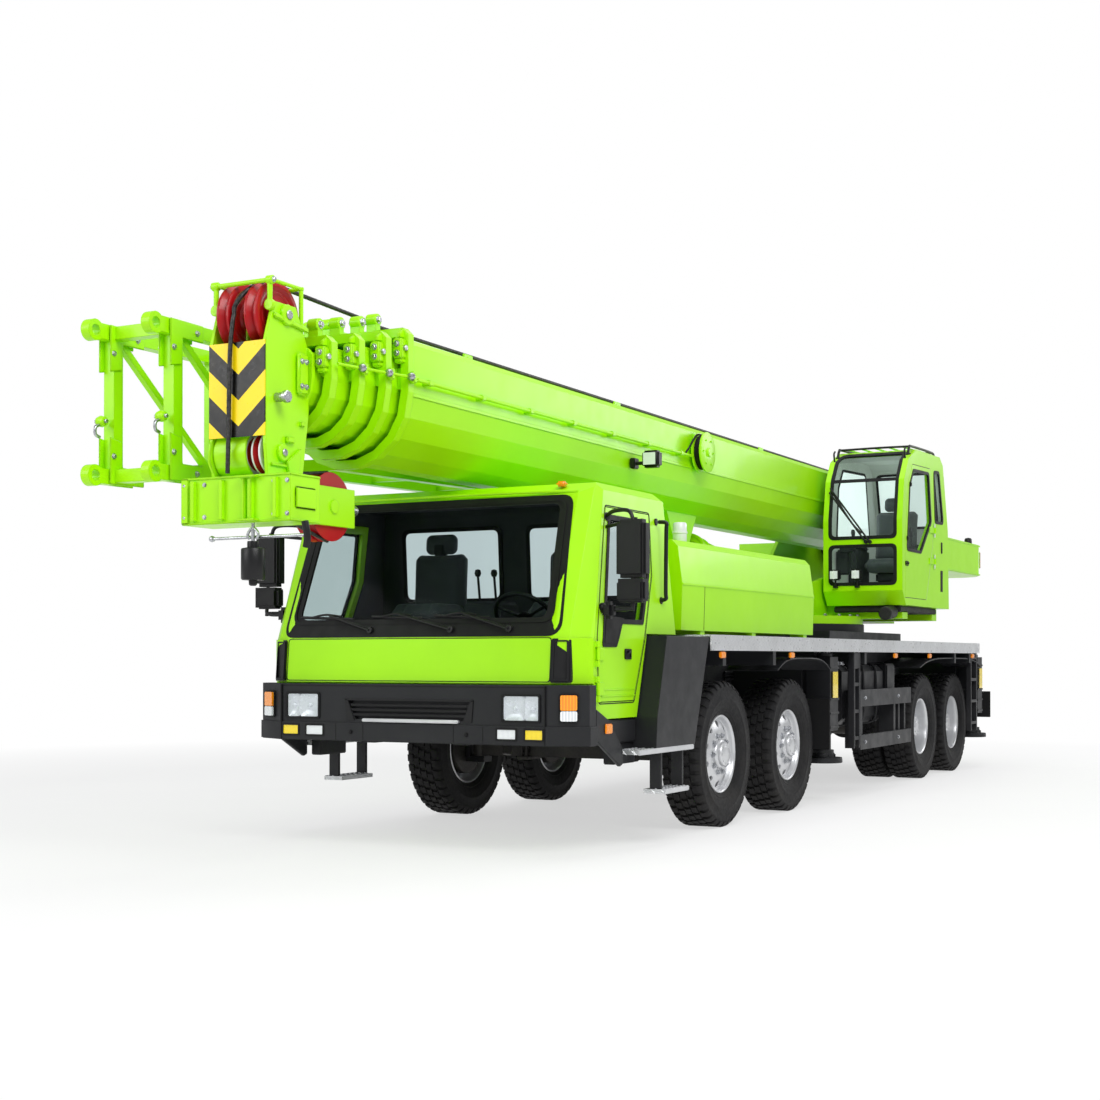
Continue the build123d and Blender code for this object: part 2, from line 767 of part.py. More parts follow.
# Turntable with its cheeks, cab arms and winch bearers
def turntable():
    ring = rod((SLEW_X, 0, RING_TOP + SEAT), (SLEW_X, 0, BED_TOP), RING_R - 10)
    ring -= rod((SLEW_X, 0, RING_TOP - 5), (SLEW_X, 0, BED_TOP - 25), RING_R - 120)
    bed = box(BED_REAR, SLEW_X + 700, -CHEEK_IN - CHEEK_T, CHEEK_IN + CHEEK_T, BED_TOP - 25, BED_TOP + 25)
    cheek = slab_y(
        [
            (SLEW_X + 700, BED_TOP),
            (SLEW_X + 640, 1950),
            (-5300, 2180),
            (-6250, 3010),
            (-6750, 3010),
            (-7050, 2880),
            (CHEEK_REAR, 2880),
            (CHEEK_REAR, 2200),
            (BED_REAR - 400, TAIL_UNDER),
            (BED_REAR - 20, TAIL_UNDER),
            (BED_REAR, BED_TOP),
        ],
        CHEEK_IN,
        CHEEK_IN + CHEEK_T,
    )
    arms = [
        box(x - 90, x + 90, CHEEK_IN + CHEEK_T - 5, 1230, BED_TOP - 25, OP_FLOOR) for x in (-4750.0, -5850.0)
    ]
    arms.append(box(-6400, -5000, -1150, -CHEEK_IN - CHEEK_T + 5, BED_TOP - 25, 1900))
    lugs = [
        slab_y(
            [
                (FOOT_X - 170, BED_TOP),
                (FOOT_X + 190, BED_TOP),
                (FOOT_X + 110, FOOT_Z + 90),
                (FOOT_X - 90, FOOT_Z + 90),
            ],
            y0,
            y1,
        )
        for y0, y1 in ((-175, -125), (125, 175))
    ]
    pin = rod((FOOT_X, -175, FOOT_Z), (FOOT_X, 175, FOOT_Z), 55)
    body = union(ring, bed, *both(cheek), *arms, *lugs, pin)
    for hole in both(rod((PIVOT_X, CHEEK_IN - 10, PIVOT_Z), (PIVOT_X, CHEEK_IN + CHEEK_T + 10, PIVOT_Z),
                         PIVOT_R + PIN_GAP)):
        body -= hole
    return body


nodes["turntable"] = turntable()


# Two winch drums, sized to the room behind the boom
WINCH_ROOM = BOOM_REAR - CHEEK_REAR
WINCH_X = (BOOM_REAR - 0.369 * WINCH_ROOM, BOOM_REAR - 0.777 * WINCH_ROOM)
WINCH_Z = 2560.0
FLANGE_R = 0.181 * WINCH_ROOM
DRUM_R = 0.131 * WINCH_ROOM


def winch(x, z):
    drum = [
        (40, -CHEEK_IN + SEAT),
        (120, -CHEEK_IN + SEAT),
        (120, -330),
        (FLANGE_R, -330),
        (FLANGE_R, -300),
        (DRUM_R, -300),
        (DRUM_R, 300),
        (FLANGE_R, 300),
        (FLANGE_R, 330),
        (120, 330),
        (120, CHEEK_IN - SEAT),
        (40, CHEEK_IN - SEAT),
    ]
    return turned(drum, x, 0, z)


nodes["winches"] = Compound(children=[winch(x, WINCH_Z) for x in WINCH_X])


# Counterweight
def counterweight():
    inner = CHEEK_IN + CHEEK_T + SEAT
    outline = [
        (-6480, inner),
        (-6480, 1200),
        (350 - REAR_REACH, 1200),
        (120 - REAR_REACH, 1110),
        (-REAR_REACH, 900),
        (-REAR_REACH, -900),
        (120 - REAR_REACH, -1110),
        (350 - REAR_REACH, -1200),
        (-6480, -1200),
        (-6480, -inner),
        (CHEEK_REAR - SEAT, -inner),
        (CHEEK_REAR - SEAT, inner),
    ]
    return slab_z(outline, 2200, 2560)


nodes["counterweight"] = counterweight()


# Operator's cab
OP_SIDE = [
    (-4520, OP_FLOOR),
    (-4400, OP_FLOOR + 140),
    (-4395, 2600),
    (-4470, 3000),
    (-4620, 3210),
    (-4900, 3330),
    (-5800, 3345),
    (-5930, 3270),
    (-6130, 2600),
    (-6170, OP_FLOOR),
]
OP_DOOR = [(-4500, 1835), (-4490, 2450), (-4600, 2960), (-4760, 3170), (-5420, 3190), (-5530, 2420), (-5270, 1835)]
OP_DOOR_WINDOW = [(-4560, 2310), (-4660, 2950), (-4790, 3110), (-5360, 3130), (-5450, 2640), (-5060, 2310)]
OP_SCREEN = [(OP_IN + 70, 2430), (OP_OUT - 70, 2430), (OP_OUT - 70, 3290), (OP_IN + 70, 3290)]
OP_LOW_SCREEN = [(OP_IN + 70, 1975), (OP_OUT - 70, 1975), (OP_OUT - 70, 2345), (OP_IN + 70, 2345)]
OP_REAR_WINDOW = [(-5610, 2650), (-5560, 3170), (-5760, 3180), (-5930, 2660)]
OP_HINGE_X = -5560.0
OP_HINGES = (2240.0, 2560.0)


def op_body(depth):
    """The operator's cab's outer form moved inwards by depth."""
    return slab_y(inset(OP_SIDE, depth), OP_IN + depth, OP_OUT - depth)


op_outer = op_body(0)
op_inner = op_body(OP_WALL)
op_layer = op_body(14) - op_body(22)


def operator_cab():
    shell = op_outer - op_inner
    shell -= slab_y(OP_DOOR, OP_OUT - OP_WALL, OP_OUT + 95)
    shell -= slab_y(OP_REAR_WINDOW, OP_OUT - 400, OP_OUT + 95)
    for screen in (OP_SCREEN, OP_LOW_SCREEN):
        shell -= slab_x(screen, -4880, -4300)
    leaves = []
    for z in OP_HINGES:
        for z0, z1 in ((z - 71, z - 31), (z + 31, z + 71)):
            leaves.append(hinge_barrel(OP_HINGE_X, OP_OUT + 14, z0, z1, OP_HINGE_X, OP_HINGE_X - 25))
    return union(shell, *leaves)


nodes["operator_cab"] = operator_cab()
op_panes = [op_layer & slab_x(inset(screen, SEAT), -4880, -4300) for screen in (OP_SCREEN, OP_LOW_SCREEN)]
op_panes.append(op_layer & slab_y(inset(OP_REAR_WINDOW, SEAT), OP_OUT - 400, OP_OUT + 95))
nodes["operator_glass"] = Compound(children=op_panes)


def operator_door():
    slab = op_outer & slab_y(inset(OP_DOOR, DOOR_GAP), OP_OUT - OP_WALL, OP_OUT + 95)
    slab -= slab_y(OP_DOOR_WINDOW, OP_OUT - 400, OP_OUT + 95)
    pane = op_layer & slab_y(inset(OP_DOOR_WINDOW, SEAT), OP_OUT - 400, OP_OUT + 95)
    barrels = [
        hinge_barrel(OP_HINGE_X, OP_OUT + 14, z - 30, z + 30, OP_HINGE_X + 145, OP_HINGE_X + 185) for z in OP_HINGES
    ]
    return Compound(children=[union(slab, *barrels), pane])


nodes["operator_door"] = operator_door()


def operator_seat():
    floor = OP_FLOOR + OP_WALL
    middle = (OP_IN + OP_OUT) / 2
    base = box(-5550, -5200, middle - 170, middle + 170, floor, floor + 330)
    cushion = box(-5600, -5110, middle - 240, middle + 240, floor + 320, floor + 450)
    back = slab_y(
        [(-5640, floor + 400), (-5520, floor + 400), (-5580, floor + 1080), (-5660, floor + 1080)],
        middle - 230,
        middle + 230,
    )
    consoles = [box(-5480, -5020, middle + s - 45, middle + s + 45, floor, floor + 560) for s in (-300, 300)]
    return union(base, cushion, back, *consoles)


nodes["operator_seat"] = operator_seat()


# Boom: five nested sections of one outline
def boom_outline(grow, step):
    half = BOOM_HALF - step * BOOM_STEP + grow
    top = BOOM_AXIS + BOOM_RISE - step * BOOM_STEP + grow
    points = []
    for i in range(10):
        angle = math.pi * i / 9
        points.append((half * math.cos(angle), BOOM_AXIS - half * math.sin(angle)))
    points += [
        (-half, top - BOOM_EDGE),
        (-half + BOOM_EDGE, top),
        (half - BOOM_EDGE, top),
        (half, top - BOOM_EDGE),
    ]
    return points


def boom_tube(step):
    rear, front = SECTION_REAR[step], SECTION_FRONT[step]
    tube = slab_x(boom_outline(0, step), rear, front)
    extras = []
    if step < 4:
        extras.append(slab_x(boom_outline(COLLAR_GROW, step), front - COLLAR, front))
        top = BOOM_AXIS + BOOM_RISE - step * BOOM_STEP + COLLAR_GROW
        for y in (-170, 170):
            extras.append(box(front - COLLAR, front - 15, y - 35, y + 35, top - 10, top + 75))
    tube = union(tube, *extras)
    tube -= slab_x(boom_outline(-BOOM_WALL, step), rear - 5, front + 5)
    if step < 4:
        inner = BOOM_HALF - (step + 1) * BOOM_STEP + SEAT
        wall = BOOM_HALF - step * BOOM_STEP - BOOM_WALL + 3
        pad = box(front - 190, front - 20, inner, wall, BOOM_AXIS + 20, BOOM_AXIS + 150)
        tube = union(tube, *both(pad))
    return tube


def boom_base():
    tube = boom_tube(0)
    bushes = both(rod((PIVOT_X, BOOM_HALF - 15, PIVOT_Z), (PIVOT_X, CHEEK_IN - 6, PIVOT_Z), 170))
    pins = both(rod((PIVOT_X, BOOM_HALF - 15, PIVOT_Z), (PIVOT_X, CHEEK_IN + CHEEK_T + 18, PIVOT_Z), PIVOT_R))
    low = BOOM_AXIS - BOOM_HALF
    ears = [
        slab_y(
            [
                (EYE_X - 330, low + 70),
                (EYE_X - 120, EYE_Z - 100),
                (EYE_X + 120, EYE_Z - 100),
                (EYE_X + 330, low + 70),
            ],
            y0,
            y1,
        )
        - slab_x(boom_outline(-BOOM_WALL / 2, 0), EYE_X - 400, EYE_X + 400)
        for y0, y1 in ((-185, -135), (135, 185))
    ]
    caps = [
        rod((EYE_X, y0, EYE_Z), (EYE_X, y1, EYE_Z), 70) for y0, y1 in ((-200, -136), (136, 200))
    ]
    brackets = [
        box(x - 70, x + 70, -JIB_IN + JIB_TUBE + SEAT, -BOOM_HALF + 4, jib_top(x) - 32, jib_top(x) + 20)
        for x in JIB_HOLDERS
    ]
    return union(tube, *bushes, *pins, *ears, *caps, *brackets)


# Stowed lattice jib on the boom's right side
JIB_IN = 560.0
JIB_OUT = 1010.0
JIB_TUBE = 38.0
JIB_LACE = 20.0
JIB_HOLDERS = (900.0, -2600.0)
JIB_NOSE = 4050.0
JIB_SHOULDER = 2420.0
JIB_TAIL = -4000.0
JIB_TOP = 3140.0
JIB_LOW = 2300.0
JIB_LOW_REAR = 2520.0
LUG_R = 62.0
LUG_BORE = 32.0


def jib_low(x):
    """Height of the lower chords at x."""
    if x > JIB_SHOULDER:
        share = (x - JIB_SHOULDER) / (JIB_NOSE - JIB_SHOULDER)
        return JIB_LOW_REAR + share * (JIB_LOW - JIB_LOW_REAR)
    share = (JIB_SHOULDER - x) / (JIB_SHOULDER - JIB_TAIL)
    return JIB_LOW_REAR + share * 130


def jib_top(x):
    """Height of the upper chords at x."""
    share = max(0.0, (JIB_SHOULDER - x) / (JIB_SHOULDER - JIB_TAIL))
    return JIB_TOP - share * 120


def bar(start, end, half):
    """Square bar between two points."""
    a = Vector(ax(start[0]), start[1], start[2])
    b = Vector(ax(end[0]), end[1], end[2])
    plane = Plane(a, z_dir=b - a)
    return plane * Pos(0, 0, (b - a).length / 2) * Box(2 * half, 2 * half, (b - a).length)


def jib():
    pieces = []
    rows = (-JIB_IN, -JIB_OUT)
    for y in rows:
        pieces.append(bar((JIB_NOSE, y, JIB_TOP), (JIB_SHOULDER, y, JIB_TOP), JIB_TUBE))
        pieces.append(bar((JIB_SHOULDER + 20, y, JIB_TOP), (JIB_TAIL, y, jib_top(JIB_TAIL)), JIB_TUBE))
        pieces.append(bar((JIB_NOSE, y, JIB_LOW), (JIB_SHOULDER, y, JIB_LOW_REAR), JIB_TUBE))
        pieces.append(bar((JIB_SHOULDER + 20, y, JIB_LOW_REAR), (JIB_TAIL, y, jib_low(JIB_TAIL)), JIB_TUBE))
    bays = 9
    for i in range(bays + 1):
        x = JIB_NOSE + (JIB_TAIL - JIB_NOSE) * i / bays
        half = JIB_TUBE if i in (0, bays) else JIB_LACE
        x = min(max(x, JIB_TAIL + half), JIB_NOSE - half)
        for y in rows:
            pieces.append(bar((x, y, jib_low(x)), (x, y, jib_top(x)), half))
        for z in (jib_low(x), jib_top(x)):
            pieces.append(bar((x, rows[0], z), (x, rows[1], z), half))
        if i < bays:
            after = JIB_NOSE + (JIB_TAIL - JIB_NOSE) * (i + 1) / bays
            after = max(after, JIB_TAIL + JIB_TUBE)
            for y in rows:
                start, end = (jib_low(x), jib_top(after)) if i % 2 else (jib_top(x), jib_low(after))
                pieces.append(bar((x, y, start), (after, y, end), JIB_LACE))
    tip = FRONT_REACH - LUG_R
    for y in rows:
        for z in (JIB_TOP, JIB_LOW):
            lug = union(
                rod((tip, y - 30, z), (tip, y + 30, z), LUG_R),
                box(JIB_NOSE - 20, tip, y - 30, y + 30, z - 45, z + 45),
            )
            pieces.append(lug - rod((tip, y - 40, z), (tip, y + 40, z), LUG_BORE))
    return union(*pieces)


nodes["boom_base"] = boom_base()
nodes["jib"] = jib()
for step in (1, 2, 3):
    nodes[f"boom_section_{step + 1}"] = boom_tube(step)


# Boom tip: innermost section with the head
HEAD_IN = 175.0
HEAD_OUT = 195.0
HEAD_FRONT = 4130.0
SHEAVE_R = 195.0
SHEAVE_X = 3950.0
SHEAVE_Z = 3150.0
LOW_SHEAVE_R = 120.0
LOW_SHEAVE_Z = 2340.0
HOOK_BACK = 790.0
HOOK_X = HEAD_FRONT - HOOK_BACK
HOOK_Z = 2140.0


def boom_tip():
    tube = boom_tube(4)
    end = slab_x(boom_outline(12, 4), SECTION_FRONT[4] - 30, SECTION_FRONT[4])
    cheek = slab_y(
        [
            (SECTION_FRONT[4] - 20, 2620),
            (3800, 2240),
            (HEAD_FRONT - 20, 2240),
            (HEAD_FRONT, 2420),
            (HEAD_FRONT, 2990),
            (4060, 3210),
            (3860, 3210),
            (SECTION_FRONT[4] - 20, 2980),
        ],
        HEAD_IN,
        HEAD_OUT,
    )
    panel = box(HEAD_FRONT - 40, HEAD_FRONT - 15, -HEAD_IN - 3, HEAD_IN + 3, 2470, 2960)
    webs = [
        box(3770, HEAD_FRONT - 30, -HEAD_IN - 3, HEAD_IN + 3, 2885, 2905),
        box(3790, HEAD_FRONT - 60, -HEAD_IN - 3, HEAD_IN + 3, 2500, 2520),
    ]
    foot = box(HEAD_FRONT - 270, HEAD_FRONT, -390, 360, 1995, 2245)
    ribs = [box(HEAD_FRONT - 5, HEAD_FRONT + 25, y - 12, y + 12, 2010, 2230) for y in (-300, -100, 100, 270)]
    pins = [
        rod((SHEAVE_X, -HEAD_OUT - 15, SHEAVE_Z), (SHEAVE_X, HEAD_OUT + 15, SHEAVE_Z), 45),
        rod((SHEAVE_X + 40, -HEAD_OUT - 15, LOW_SHEAVE_Z + 40), (SHEAVE_X + 40, HEAD_OUT + 15, LOW_SHEAVE_Z + 40), 35),
    ]
    strut = box(HOOK_X + 215, HEAD_FRONT - 260, -45, 45, 2090, 2150)
    return union(tube, end, *both(cheek), panel, *webs, foot, *ribs, *pins, strut)


nodes["boom_tip"] = boom_tip()


def sheave(x, y, z, radius, bore, half):
    groove = radius - 28
    profile = [
        (bore + PIN_GAP, -half),
        (radius, -half),
        (radius, -half + 10),
        (groove, 0),
        (radius, half - 10),
        (radius, half),
        (bore + PIN_GAP, half),
    ]
    return turned(profile, x, y, z)


nodes["head_sheaves"] = Compound(
    children=[sheave(SHEAVE_X, y, SHEAVE_Z, SHEAVE_R, 45, 36) for y in (-95, 95)]
    + [sheave(SHEAVE_X + 40, y, LOW_SHEAVE_Z + 40, LOW_SHEAVE_R, 35, 30) for y in (-110, 0, 110)]
)


def hook_block():
    plates = [box(HOOK_X - 215, HOOK_X + 215 - SEAT, y - 10, y + 10, HOOK_Z - 115, HOOK_Z + 115) for y in (-75, 0, 75)]
    pin = rod((HOOK_X, -95, HOOK_Z), (HOOK_X, 95, HOOK_Z), 40)
    wheels = [turned([(30, y - 27), (205, y - 27), (180, y), (205, y + 27), (30, y + 27)], HOOK_X, 0, HOOK_Z)
              for y in (-37.5, 37.5)]
    shank = rod((HOOK_X - 330, 0, HOOK_Z), (HOOK_X - 190, 0, HOOK_Z), 34)
    return union(*plates, pin, *wheels, shank)


nodes["hook_block"] = hook_block()


# Luffing cylinder
REST = Vector(EYE_X - FOOT_X, 0, EYE_Z - FOOT_Z)
BARREL_L = REST.length - ROD_STUB


def along(distance):
    """Point on the luffing cylinder's axis, at a distance from its foot pin."""
    unit = REST.normalized()
    return (FOOT_X + unit.X * distance, 0, FOOT_Z + unit.Z * distance)


def luff_barrel():
    tube = rod(along(200), along(BARREL_L), BARREL_R)
    tube -= rod(along(ROD_IN - 60), along(BARREL_L + 5), ROD_R + PIN_GAP)
    eye = rod((FOOT_X, -118, FOOT_Z), (FOOT_X, 118, FOOT_Z), 120)
    neck = rod(along(60), along(210), 105)
    pin = rod((FOOT_X, -130, FOOT_Z), (FOOT_X, 130, FOOT_Z), 55 + PIN_GAP)
    return union(tube, eye, neck) - pin


def luff_rod():
    stem = rod(along(ROD_IN), along(REST.length - 70), ROD_R)
    eye = rod((EYE_X, -125, EYE_Z), (EYE_X, 125, EYE_Z), 125)
    return union(stem, eye) - rod((EYE_X, -130, EYE_Z), (EYE_X, 130, EYE_Z), 60)


nodes["luff_barrel"] = luff_barrel()
nodes["luff_rod"] = luff_rod()

os.makedirs("parts", exist_ok=True)
for name, shape in nodes.items():
    export_step(shape, f"parts/{name}.step")
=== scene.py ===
import math

import bmesh
import bpy
from mathutils import Matrix, Vector


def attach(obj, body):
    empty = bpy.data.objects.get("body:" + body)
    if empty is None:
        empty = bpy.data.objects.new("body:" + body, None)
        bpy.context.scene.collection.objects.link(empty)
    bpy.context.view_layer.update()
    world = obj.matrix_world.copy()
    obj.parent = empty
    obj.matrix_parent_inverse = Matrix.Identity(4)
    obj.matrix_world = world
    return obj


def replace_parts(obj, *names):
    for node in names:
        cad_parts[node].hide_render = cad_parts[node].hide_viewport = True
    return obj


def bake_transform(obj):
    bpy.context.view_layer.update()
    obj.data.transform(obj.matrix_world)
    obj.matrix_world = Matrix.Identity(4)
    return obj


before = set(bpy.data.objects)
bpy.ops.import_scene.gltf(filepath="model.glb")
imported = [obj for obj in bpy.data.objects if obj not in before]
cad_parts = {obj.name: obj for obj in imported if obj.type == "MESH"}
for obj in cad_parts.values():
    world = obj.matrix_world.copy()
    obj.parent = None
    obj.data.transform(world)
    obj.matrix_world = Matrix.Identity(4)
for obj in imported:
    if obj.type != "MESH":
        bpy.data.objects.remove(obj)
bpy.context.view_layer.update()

AXLE_1 = 2025.0
SIDES = (("left", 1), ("right", -1))


def V(x, y, z):
    """Point in metres from millimetres, x counted from the first axle."""
    return Vector(((AXLE_1 + x) / 1000, y / 1000, z / 1000))


def mm(p):
    """Point in millimetres from the first axle, from metres."""
    return p.x * 1000 - AXLE_1, p.y * 1000, p.z * 1000


def span(side, a, b):
    """Two distances out from the middle as a low and a high y."""
    return sorted((side * a, side * b))


def around(count, radius, shift=0.0):
    """Evenly spaced (cosine, sine) offsets on a circle."""
    for i in range(count):
        a = 2 * math.pi * (i + shift) / count
        yield radius * math.cos(a), radius * math.sin(a)


def rgb(r, g, b):
    """Screen colour as a linear colour."""
    line = []
    for c in (r / 255, g / 255, b / 255):
        line.append(c / 12.92 if c <= 0.04045 else ((c + 0.055) / 1.055) ** 2.4)
    return (*line, 1.0)


# Materials
class Nodes:
    """The node tree of a material or world with short calls."""

    def __init__(self, name, owners=bpy.data.materials, output="OutputMaterial"):
        self.owner = owners.new(name)
        self.owner.use_nodes = True
        self.tree = self.owner.node_tree
        self.tree.nodes.clear()
        self.out = self.add(output)

    def add(self, kind, **settings):
        node = self.tree.nodes.new("ShaderNode" + kind)
        for key, value in settings.items():
            setattr(node, key, value)
        return node

    def feed(self, socket, value):
        if isinstance(value, bpy.types.NodeSocket):
            self.tree.links.new(value, socket)
        else:
            socket.default_value = value

    def put(self, node, **sockets):
        for key, value in sockets.items():
            self.feed(node.inputs[key.replace("_", " ")], value)
        return node

    def places(self):
        """The object's own coordinates, one by one."""
        node = self.add("SeparateXYZ")
        self.feed(node.inputs[0], self.add("TexCoord").outputs["Object"])
        return node.outputs

    def blend(self, factor, a, b):
        """Two shaders mixed."""
        node = self.add("MixShader")
        for index, value in enumerate((factor, a, b)):
            self.feed(node.inputs[index], value)
        return node.outputs[0]

    def noise(self, scale, detail=3.0, rough=0.55):
        coords = self.add("TexCoord").outputs["Object"]
        node = self.put(self.add("TexNoise"), Vector=coords, Scale=scale, Detail=detail, Roughness=rough)
        return node.outputs["Fac"]

    def ramp(self, value, low, high, start=0.0, end=1.0):
        node = self.put(self.add("MapRange"), Value=value, From_Min=start, From_Max=end, To_Min=low, To_Max=high)
        return node.outputs["Result"]

    def mix(self, factor, a, b):
        node = self.add("Mix", data_type="RGBA")
        for index, value in ((0, factor), (6, a), (7, b)):
            self.feed(node.inputs[index], value)
        return node.outputs[2]

    def math(self, kind, a, b=0.0):
        node = self.add("Math", operation=kind)
        for index, value in enumerate((a, b)):
            self.feed(node.inputs[index], value)
        return node.outputs[0]

    def bump(self, height, strength, distance, normal=None):
        node = self.put(self.add("Bump"), Height=height, Strength=strength, Distance=distance)
        if normal is not None:
            self.put(node, Normal=normal)
        return node.outputs["Normal"]

    def close(self, shader):
        self.feed(self.out.inputs["Surface"], shader)
        return self.owner


def finish_of(name, light, dark, rough, spread=0.08, metal=0.0, coat=0.0, patch=1.7, grain=0.05, grain_scale=260.0,
              edge=0.0, worn=None, dust=0.0, glow=0.0, spec=0.5):
    """Painted, cast or moulded surface with patches, grain, rounded edges, wear and dust low down; glow makes it emit
    its light colour, painted daylight on the panes and the lining.
    """
    n = Nodes(name)
    light, dark = rgb(*light), rgb(*dark)
    colour = n.mix(n.ramp(n.noise(patch, 5.0), 0.0, 1.0, 0.35, 0.65), light, dark)
    normal = None
    if edge:
        normal = n.put(n.add("Bevel", samples=4), Radius=edge).outputs["Normal"]
        if worn:
            plain = n.add("NewGeometry").outputs["Normal"]
            dot = n.add("VectorMath", operation="DOT_PRODUCT")
            n.feed(dot.inputs[0], normal)
            n.feed(dot.inputs[1], plain)
            mask = n.ramp(dot.outputs["Value"], 0.5, 0.0, 0.72, 0.97)
            mask = n.math("MULTIPLY", mask, n.ramp(n.noise(23.0, 4.0), 0.0, 1.0, 0.45, 0.62))
            colour = n.mix(mask, colour, rgb(*worn))
    if dust:
        low = n.ramp(n.places()["Z"], dust, 0.0, 0.25, 1.25)
        low = n.math("MULTIPLY", low, n.ramp(n.noise(6.0, 6.0), 0.2, 1.0, 0.35, 0.7))
        colour = n.mix(low, colour, rgb(150, 143, 130))
    shine = n.ramp(n.noise(patch * 5, 4.0), rough - spread, rough + spread, 0.3, 0.7)
    bump = n.bump(n.noise(grain_scale, 2.0), grain, 0.002, normal)
    p = n.put(n.add("BsdfPrincipled"), Base_Color=colour, Roughness=shine, Metallic=metal, Normal=bump)
    n.put(p, Coat_Weight=coat, Coat_Roughness=0.08, Specular_IOR_Level=spec)
    # Emission in the light colour: painted daylight on the panes and the lining, a faint lamp glow on the reflector.
    if glow:
        n.put(p, Emission_Color=light, Emission_Strength=glow)
    return n.close(p.outputs["BSDF"])


def glass_of(name, tint, haze=0.02):
    """Pane that lets tinted light through and mirrors at its face."""
    n = Nodes(name)
    clear = n.put(n.add("BsdfTransparent"), Color=tint)
    streak = n.ramp(n.noise(9.0, 4.0), haze * 0.6, haze * 1.6, 0.3, 0.7)
    gloss = n.put(n.add("BsdfPrincipled"), Base_Color=(0.02, 0.025, 0.025, 1.0), Roughness=streak)
    face = n.put(n.add("Fresnel"), IOR=1.5)
    front = n.math("SUBTRACT", 1.0, n.add("NewGeometry").outputs["Backfacing"])
    mirror = n.math("MULTIPLY", face.outputs[0], front)
    return n.close(n.blend(mirror, clear.outputs[0], gloss.outputs[0]))


def lens_of(name, colour, dark):
    """Moulded lamp lens with fine flutes that glows faintly in its own colour."""
    n = Nodes(name)
    colour, dark = rgb(*colour), rgb(*dark)
    place = n.places()
    flute = n.math("SINE", n.math("MULTIPLY", n.math("ADD", place["Y"], place["X"]), 700.0))
    shade = n.mix(n.ramp(flute, 0.0, 1.0, -1.0, 1.0), colour, dark)
    bump = n.bump(flute, 0.35, 0.002)
    shine = n.ramp(n.noise(40.0), 0.08, 0.2, 0.3, 0.7)
    p = n.put(n.add("BsdfPrincipled"), Base_Color=shade, Roughness=shine, Normal=bump)
    # The faint glow is painted light where this finish is used on reflectors and plates, which are no lamps.
    n.put(p, Coat_Weight=0.8, Coat_Roughness=0.05, Emission_Color=colour, Emission_Strength=0.12)
    return n.close(p.outputs["BSDF"])


def chequer():
    """Aluminium tread plate with raised bars."""
    n = Nodes("chequer_plate")
    place = n.places()
    grid_per_metre = 28.0
    u = n.math("MULTIPLY", place["X"], grid_per_metre)
    v = n.math("MULTIPLY", n.math("ADD", place["Y"], place["Z"]), grid_per_metre)
    up = n.math("ADD", u, v)
    down = n.math("SUBTRACT", u, v)
    parity = n.math("PINGPONG", n.math("ADD", n.math("FLOOR", u), n.math("FLOOR", v)), 1.0)

    def bars(slope, run):
        near = n.math("ABSOLUTE", n.math("SUBTRACT", n.math("PINGPONG", slope, 0.5), 0.25))
        long = n.math("PINGPONG", run, 0.5)
        return n.math("MULTIPLY", n.ramp(near, 1.0, 0.0, 0.04, 0.1), n.ramp(long, 0.0, 1.0, 0.1, 0.2))

    height = n.math("ADD", n.math("MULTIPLY", parity, bars(up, down)),
                    n.math("MULTIPLY", n.math("SUBTRACT", 1.0, parity), bars(down, up)))
    tone = n.mix(height, rgb(206, 208, 210), rgb(236, 237, 238))
    tone = n.mix(n.ramp(n.noise(5.0, 5.0), 0.0, 0.35, 0.4, 0.75), tone, rgb(176, 177, 178))
    bump = n.bump(height, 0.6, 0.003)
    shine = n.ramp(n.noise(30.0, 4.0), 0.25, 0.45, 0.3, 0.7)
    p = n.put(n.add("BsdfPrincipled"), Base_Color=tone, Metallic=0.75, Roughness=shine, Normal=bump)
    return n.close(p.outputs["BSDF"])


def chevrons():
    """Yellow and black stripes that point down in the middle."""
    n = Nodes("chevron_paint")
    place = n.places()
    middle, slope, start, pitch = 0.012, 0.86, 0.1865, 0.285
    side = n.math("ABSOLUTE", n.math("SUBTRACT", place["Y"], middle))
    level = n.math("SUBTRACT", place["Z"], n.math("MULTIPLY", side, slope))
    wave = n.math("FRACT", n.math("DIVIDE", n.math("ADD", level, start), pitch))
    stripe = n.math("GREATER_THAN", wave, 0.5)
    grime = n.ramp(n.noise(14.0, 5.0), 0.0, 0.06, 0.45, 0.75)
    paint = n.mix(stripe, rgb(12, 12, 13), rgb(255, 222, 0))
    paint = n.mix(grime, paint, rgb(120, 110, 70))
    shine = n.ramp(n.noise(30.0), 0.25, 0.4, 0.3, 0.7)
    p = n.put(n.add("BsdfPrincipled"), Base_Color=paint, Roughness=shine)
    n.put(p, Coat_Weight=0.1, Coat_Roughness=0.1, Specular_IOR_Level=0.3)
    return n.close(p.outputs["BSDF"])


def cloth():
    """Dark woven seat cloth."""
    n = Nodes("seat_cloth")
    place = n.places()
    threads = 2600.0
    warp = n.math("SINE", n.math("MULTIPLY", place["Y"], threads))
    weft = n.math("SINE", n.math("MULTIPLY", n.math("ADD", place["X"], place["Z"]), threads))
    weave = n.math("MULTIPLY", warp, weft)
    tone = n.mix(n.ramp(weave, 0.0, 1.0, -1.0, 1.0), rgb(74, 76, 80), rgb(104, 106, 111))
    tone = n.mix(n.ramp(n.noise(7.0, 4.0), 0.0, 0.4, 0.4, 0.7), tone, rgb(62, 64, 68))
    shine = n.ramp(n.noise(60.0), 0.8, 0.95)
    p = n.put(n.add("BsdfPrincipled"), Base_Color=tone, Roughness=shine, Normal=n.bump(weave, 0.4, 0.001))
    n.put(p, Sheen_Weight=0.3, Sheen_Roughness=0.5)
    return n.close(p.outputs["BSDF"])


